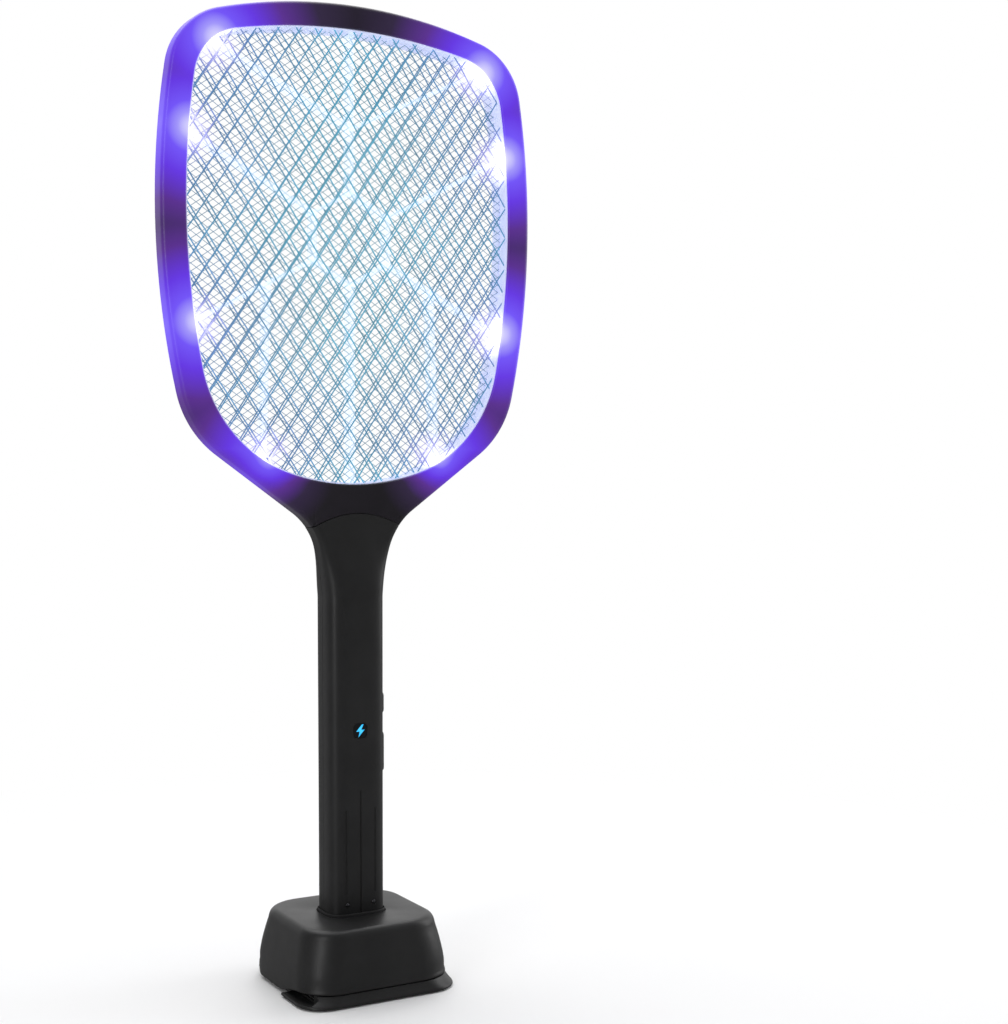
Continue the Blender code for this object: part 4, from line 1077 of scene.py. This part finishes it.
def window():
    """A smoked square window with a lit bolt in it."""
    face = [(x, WINDOW_Z + z) for x, z in rounded_rectangle(WINDOW_HALF, WINDOW_HALF, 2.3, 8)]
    lens = upright_prism("indicator_lens", face, 0.1 - HANDLE_HALF_DEPTH, -10.0)
    ease_edges(lens, 0.12)
    finish_piece(lens, "racket", "indicator_window", "indicator_window")
    outline = [(x, WINDOW_Z + z) for x, z in BOLT_OUTLINE]
    bolt = upright_prism("indicator_bolt", outline, 0.03 - HANDLE_HALF_DEPTH, 0.3 - HANDLE_HALF_DEPTH)
    finish_piece(bolt, "racket", "indicator_window", look=LIT_BOLT)


def rivets():
    face = HANDLE_HALF_DEPTH - 0.3
    dome = [(0, 10.2), (RIVET_RADIUS, 10.2), (RIVET_RADIUS, face)]
    dome += [(RIVET_RADIUS * math.cos(angle), face + 0.4 * math.sin(angle)) for angle in quarter_turn(6)[:-1]]
    dome.append((0, face + 0.4))
    for tag, side in (("left", -1), ("right", 1)):
        place = (side * RIVET[0], 0, RIVET[1])
        piece = turned(f"contact_rivet_{tag}_dome", dome, place, (0, -1, 0), sharp=60)
        finish_piece(piece, "racket", "bright_steel", f"contact_rivet_{tag}", look=DARK_STEEL)


def screws():
    """Round-head screws with a cross recess."""
    shank = [(0, -6.9), (1.2, -6.9), (1.2, 11.5)]
    screw_head = [(2.7, 11.5), (2.7, 12.0), (2.5, 12.3), (2.1, 12.5), (0, 12.6)]
    for tag, z in zip(("lower", "upper"), SCREW_Z):
        screw = turned(f"handle_screw_{tag}_head", shank + screw_head, (0, 0, z), (0, 1, 0))
        across = box("cross_across", (-1.5, 11.9, z - 0.3), (1.5, 13.0, z + 0.3))
        upright = box("cross_upright", (-0.3, 11.85, z - 1.5), (0.3, 13.1, z + 1.5))
        cut(screw, [across, upright])
        finish_piece(screw, "racket", "bright_steel", f"handle_screw_{tag}")


# ---- base ----


def eased(value, start, end):
    """0 at the start and 1 at the end, with level ends."""
    share = min(1.0, max(0.0, (value - start) / (end - start)))
    return share * share * (3 - 2 * share)


def skirt_share(x, y):
    """1 where the cover's lower edge reaches the floor, on its left side, and 0 where it stops at the lip."""
    if x > 0:
        return 0.0
    if y < 0:
        return eased(y, *SKIRT_Y)
    return eased(-x, -SKIRT_X[1], -SKIRT_X[0])


def cover_profile(drop):
    """Half width, corner radius and height down the outside, whose lower edge sits at the lip less the drop.

    The lower edge is a small bead, which tucks in where it drops."""
    foot = LIP_Z - drop
    tuck = SKIRT_TUCK * drop / (LIP_Z - SKIRT_BOTTOM)
    widest = (BODY_HALF + 0.3 - 0.25 * tuck, foot + 1.0)
    bead = fillet((BODY_HALF - 0.75 - tuck, foot), (BODY_HALF + 0.35 - 0.6 * tuck, foot), widest, 4)
    bead += fillet(widest, (BODY_HALF + 0.1, foot + 1.9), (BODY_HALF - 0.15, foot + 2.9), 3)[1:]
    profile = [(half, BASE_CORNER, z) for half, z in bead]
    for k in range(1, 9):
        share = k / 8
        half = SHOULDER_HALF + (BODY_HALF - SHOULDER_HALF) * (1 - share**BODY_BULGE)
        profile.append((half, BASE_CORNER + share, BODY_WIDEST_Z + (SHOULDER_Z - BODY_WIDEST_Z) * share))
    roll = fillet((SHOULDER_HALF, SHOULDER_Z), (SHOULDER_HALF - 0.9, BASE_TOP), (TOP_HALF, BASE_TOP), 12)[1:]
    for k, (half, z) in enumerate(roll, 1):
        profile.append((half, BASE_CORNER + 1.0 - 2.5 * k / len(roll), z))
    return profile


def cover_inside(drop):
    """Half width, corner radius and height up the inside, from below the top to the lower edge."""
    return [
        (TOP_HALF - 1.0, BASE_CORNER - 2.0, BASE_TOP - BASE_WALL),
        (SHOULDER_HALF - BASE_WALL - 1.2, BASE_CORNER - 1.5, SHOULDER_Z + 1.5),
        (BODY_HALF - BASE_WALL - 0.6, BASE_CORNER - BASE_WALL, LIP_Z - drop),
    ]


def cover_outline(half, corner):
    """A rounded square with a point added halfway along each of its sides."""
    plain = rounded_rectangle(half, half, corner, 14)
    points = []
    for (ax, ay), (bx, by) in zip(plain, plain[1:] + plain[:1]):
        points += [(ax, ay), ((ax + bx) / 2, (ay + by) / 2)]
    return points


def base_cover():
    """A drafted cover whose shoulder rolls over into a flat top with a socket. Its left side has a skirt."""
    sides = cover_outline(BODY_HALF, BASE_CORNER)
    angles = [2 * math.pi * (i + 1.0) / len(sides) for i in range(len(sides))]
    wide = SOCKET_CLEARANCE + SOCKET_WALL
    socket = (
        (SOCKET_CLEARANCE + 0.5, BASE_TOP), (SOCKET_CLEARANCE + 0.12, BASE_TOP - 0.15),
        (SOCKET_CLEARANCE, BASE_TOP - 0.5), (SOCKET_CLEARANCE, SOCKET_FOOT),
        (wide, SOCKET_FOOT), (wide, BASE_TOP - BASE_WALL),
    )
    sections = []
    for i, (x, y) in enumerate(sides):
        drop = (LIP_Z - SKIRT_BOTTOM) * skirt_share(x, y)
        outside, inside = (
            [(*cover_outline(half, corner)[i], z) for half, corner, z in profile]
            for profile in (cover_profile(drop), cover_inside(drop))
        )
        sections.append(outside + [(*handle_point(angles[i], grow), z) for grow, z in socket] + inside)
    cover = loft("base_cover", sections, closed_path=True, sharp=40)
    finish_piece(cover, "base", "black_plastic", "base_housing")


def base_plate():
    """A tray with flared sides, whose left side stops inside the cover's skirt and has a cable recess."""
    levels = [(PLATE_HALF - 0.9, PLATE_CORNER - 0.5, PLATE_BOTTOM)]
    edge = ((PLATE_HALF - 0.55, PLATE_BOTTOM), (PLATE_HALF, PLATE_BOTTOM), (PLATE_HALF, PLATE_BOTTOM + 0.7))
    levels += [(half, PLATE_CORNER, z) for half, z in fillet(*edge, 4)]
    flare_foot = (PLATE_HALF - 0.15, PLATE_BOTTOM + 1.3)
    flare = fillet(flare_foot, (BODY_HALF + 0.7, PLATE_TOP - 2.0), (BODY_HALF + 0.1, PLATE_TOP), 6)
    for half, z in flare:
        share = (z - flare[0][1]) / (flare[-1][1] - flare[0][1])
        levels.append((half, PLATE_CORNER + (BASE_CORNER - PLATE_CORNER) * share, z))
    sections = []
    for half, corner, z in levels:
        sections.append([(x, y, z) for x, y in rounded_rectangle(half, half, corner, 12)])
    plate = loft("base_plate", sections)
    pocket = rounded_rectangle(BODY_HALF - 3.0, BODY_HALF - 3.0, BASE_CORNER - 3.0, 8)
    cutters = [
        flat_prism("plate_pocket", pocket, PLATE_FLOOR, 12.0),
        box("inlet_recess", *INLET_RECESS),
        box("skirt_room", (-50.0, RIM_BACK_Y, -1.0), (3.3 - BODY_HALF, 50.0, 12.0)),
        box("skirt_room_corner", (-50.0, 21.0, -1.0), (6.2 - BODY_HALF, 50.0, 12.0)),
    ]
    r = FOOT_RADIUS
    pad = [(0, 0), (r - 0.6, 0), (r - 0.15, 0.15), (r, 0.6), (r, 1.5), (0, 1.5)]
    well = [(0, -2), (r + 0.3, -2), (r + 0.3, 1.8), (0, 1.8)]
    for number, (sign_x, sign_y) in enumerate(((1, 1), (-1, 1), (-1, -1), (1, -1)), 1):
        place = (FOOT_CENTRE * sign_x, FOOT_CENTRE * sign_y, 0)
        cutters.append(turned(f"foot_well_{number}", well, place, (0, 0, 1)))
        foot = turned(f"base_foot_{number}_pad", pad, place, (0, 0, 1), sides=40)
        finish_piece(foot, "base", "rubber", f"base_foot_{number}")
    cut(plate, cutters)
    ease_edges(plate, 0.15)
    finish_piece(plate, "base", "black_plastic", "base_foot_plate")


def collar():
    """The soft lip round the handle where it enters the base."""
    steps = 96
    profile = [(1.0, 35.0), (1.0, BASE_TOP + 0.5)]
    profile += fillet((1.0, BASE_TOP + 0.5), (1.0, BASE_TOP + 1.3), (0.7, BASE_TOP + 1.3), 4)[1:]
    profile += fillet((0.7, BASE_TOP + 1.3), (0.4, BASE_TOP + 1.3), (0.4, BASE_TOP + 0.7), 4)[1:]
    profile.append((0.4, 35.0))
    angles = [2 * math.pi * k / steps for k in range(steps)]
    sections = [[(*handle_point(angle, grow), z) for grow, z in profile] for angle in angles]
    lip = loft("socket_lip", sections, closed_path=True, sharp=60)
    finish_piece(lip, "base", "rubber", "socket_collar")


def base():
    base_cover()
    base_plate()
    collar()


# ---- studio ----


def floor():
    """A pale floor that bleaches into the white surroundings away from the base. It shows only faintly in
    glossy surfaces, and from below it is clear."""
    look = Look("pale_floor", Specular_IOR_Level=0.2)
    look.vary((0.90, 0.90, 0.905), 0.55, patch=3.0, shade=0.01, spread=0.03)
    look.grain(2.0, 0.03)
    away = look.add("ShaderNodeVectorMath", operation="LENGTH")
    look.link(look.where, away.inputs[0])
    bleach = look.ramp(away.outputs["Value"], ((0.10, 0.0), (0.30, 0.35), (0.60, 1.0)))
    path = look.add("ShaderNodeLightPath").outputs
    glossy = look.math("MULTIPLY", path["Is Glossy Ray"], 0.75)
    surface = look.mix_shaders(glossy, look.shader.outputs[0], look.glow(0.08))
    bleached = look.math("MULTIPLY", bleach, path["Is Camera Ray"])
    surface = look.mix_shaders(bleached, surface, look.glow(1.0))
    below = look.add("ShaderNodeNewGeometry").outputs["Backfacing"]
    surface = look.mix_shaders(below, surface, look.add("ShaderNodeBsdfTransparent").outputs[0])
    look.link(surface, look.tree.nodes["Material Output"].inputs["Surface"])
    reach = 6000.0
    corners = [(-reach, -reach, 0), (reach, -reach, 0), (reach, reach, 0), (-reach, reach, 0)]
    plane = mesh_piece("studio_floor", corners, [(0, 1, 2, 3)])
    plane.data.materials.append(look.material)


def area_light(name, at, towards, size, power):
    data = bpy.data.lights.new(name, "AREA")
    data.shape = "RECTANGLE"
    data.size, data.size_y = size
    data.energy = power
    light = bpy.data.objects.new(name, data)
    light.visible_camera = False
    bpy.context.scene.collection.objects.link(light)
    light.location = at
    light.rotation_mode = "QUATERNION"
    light.rotation_quaternion = (Vector(towards) - Vector(at)).to_track_quat("-Z", "Y")


def studio():
    """White surroundings, bright behind the object on the right and dimmer in front of it."""
    world = bpy.data.worlds.new("studio")
    bpy.context.scene.world = world
    world.use_nodes = True
    nodes = Nodes(world.node_tree)
    seen = world.node_tree.nodes["Background"]
    seen.inputs["Color"].default_value = (1.0, 1.0, 1.0, 1.0)
    toward = nodes.add("ShaderNodeVectorMath", operation="DOT_PRODUCT")
    toward.inputs[1].default_value = BRIGHT_SIDE
    nodes.link(nodes.add("ShaderNodeTexCoord").outputs["Generated"], toward.inputs[0])
    level = nodes.math("MULTIPLY_ADD", toward.outputs["Value"], 0.5, 0.5)
    lighting = nodes.add("ShaderNodeBackground")
    nodes.link(nodes.ramp(level, ((0.25, 0.16), (0.6, 0.42), (0.95, 1.0))), lighting.inputs["Color"])
    for background in (seen, lighting):
        background.inputs["Strength"].default_value = 1.0
    camera_ray = nodes.add("ShaderNodeLightPath").outputs["Is Camera Ray"]
    surface = nodes.mix_shaders(camera_ray, lighting.outputs[0], seen.outputs[0])
    nodes.link(surface, world.node_tree.nodes["World Output"].inputs["Surface"])
    area_light("top_softbox", (0.1, 0.5, 1.8), (0.0, 0.0, 0.2), (1.8, 1.8), 26.0)
    area_light("left_softbox", (-1.3, -0.75, 0.6), (0.0, 0.0, 0.3), (0.3, 1.2), 6.0)
    area_light("right_softbox", (1.4, -0.2, 0.7), (0.0, 0.0, 0.3), (0.6, 1.2), 6.0)


def camera():
    data = bpy.data.cameras.new("photo_camera")
    data.lens = CAMERA_LENS
    data.sensor_width = 36.0
    data.clip_start = 0.01
    cam = bpy.data.objects.new("photo_camera", data)
    bpy.context.scene.collection.objects.link(cam)
    cam.location = CAMERA_AT
    cam.rotation_euler = (math.radians(90 - CAMERA_DIP), 0.0, -math.radians(CAMERA_YAW))
    bpy.context.scene.camera = cam


dress_frame_nodes()
head()
handle()
base()
floor()
studio()
camera()
bpy.context.scene.view_settings.view_transform = "Standard"
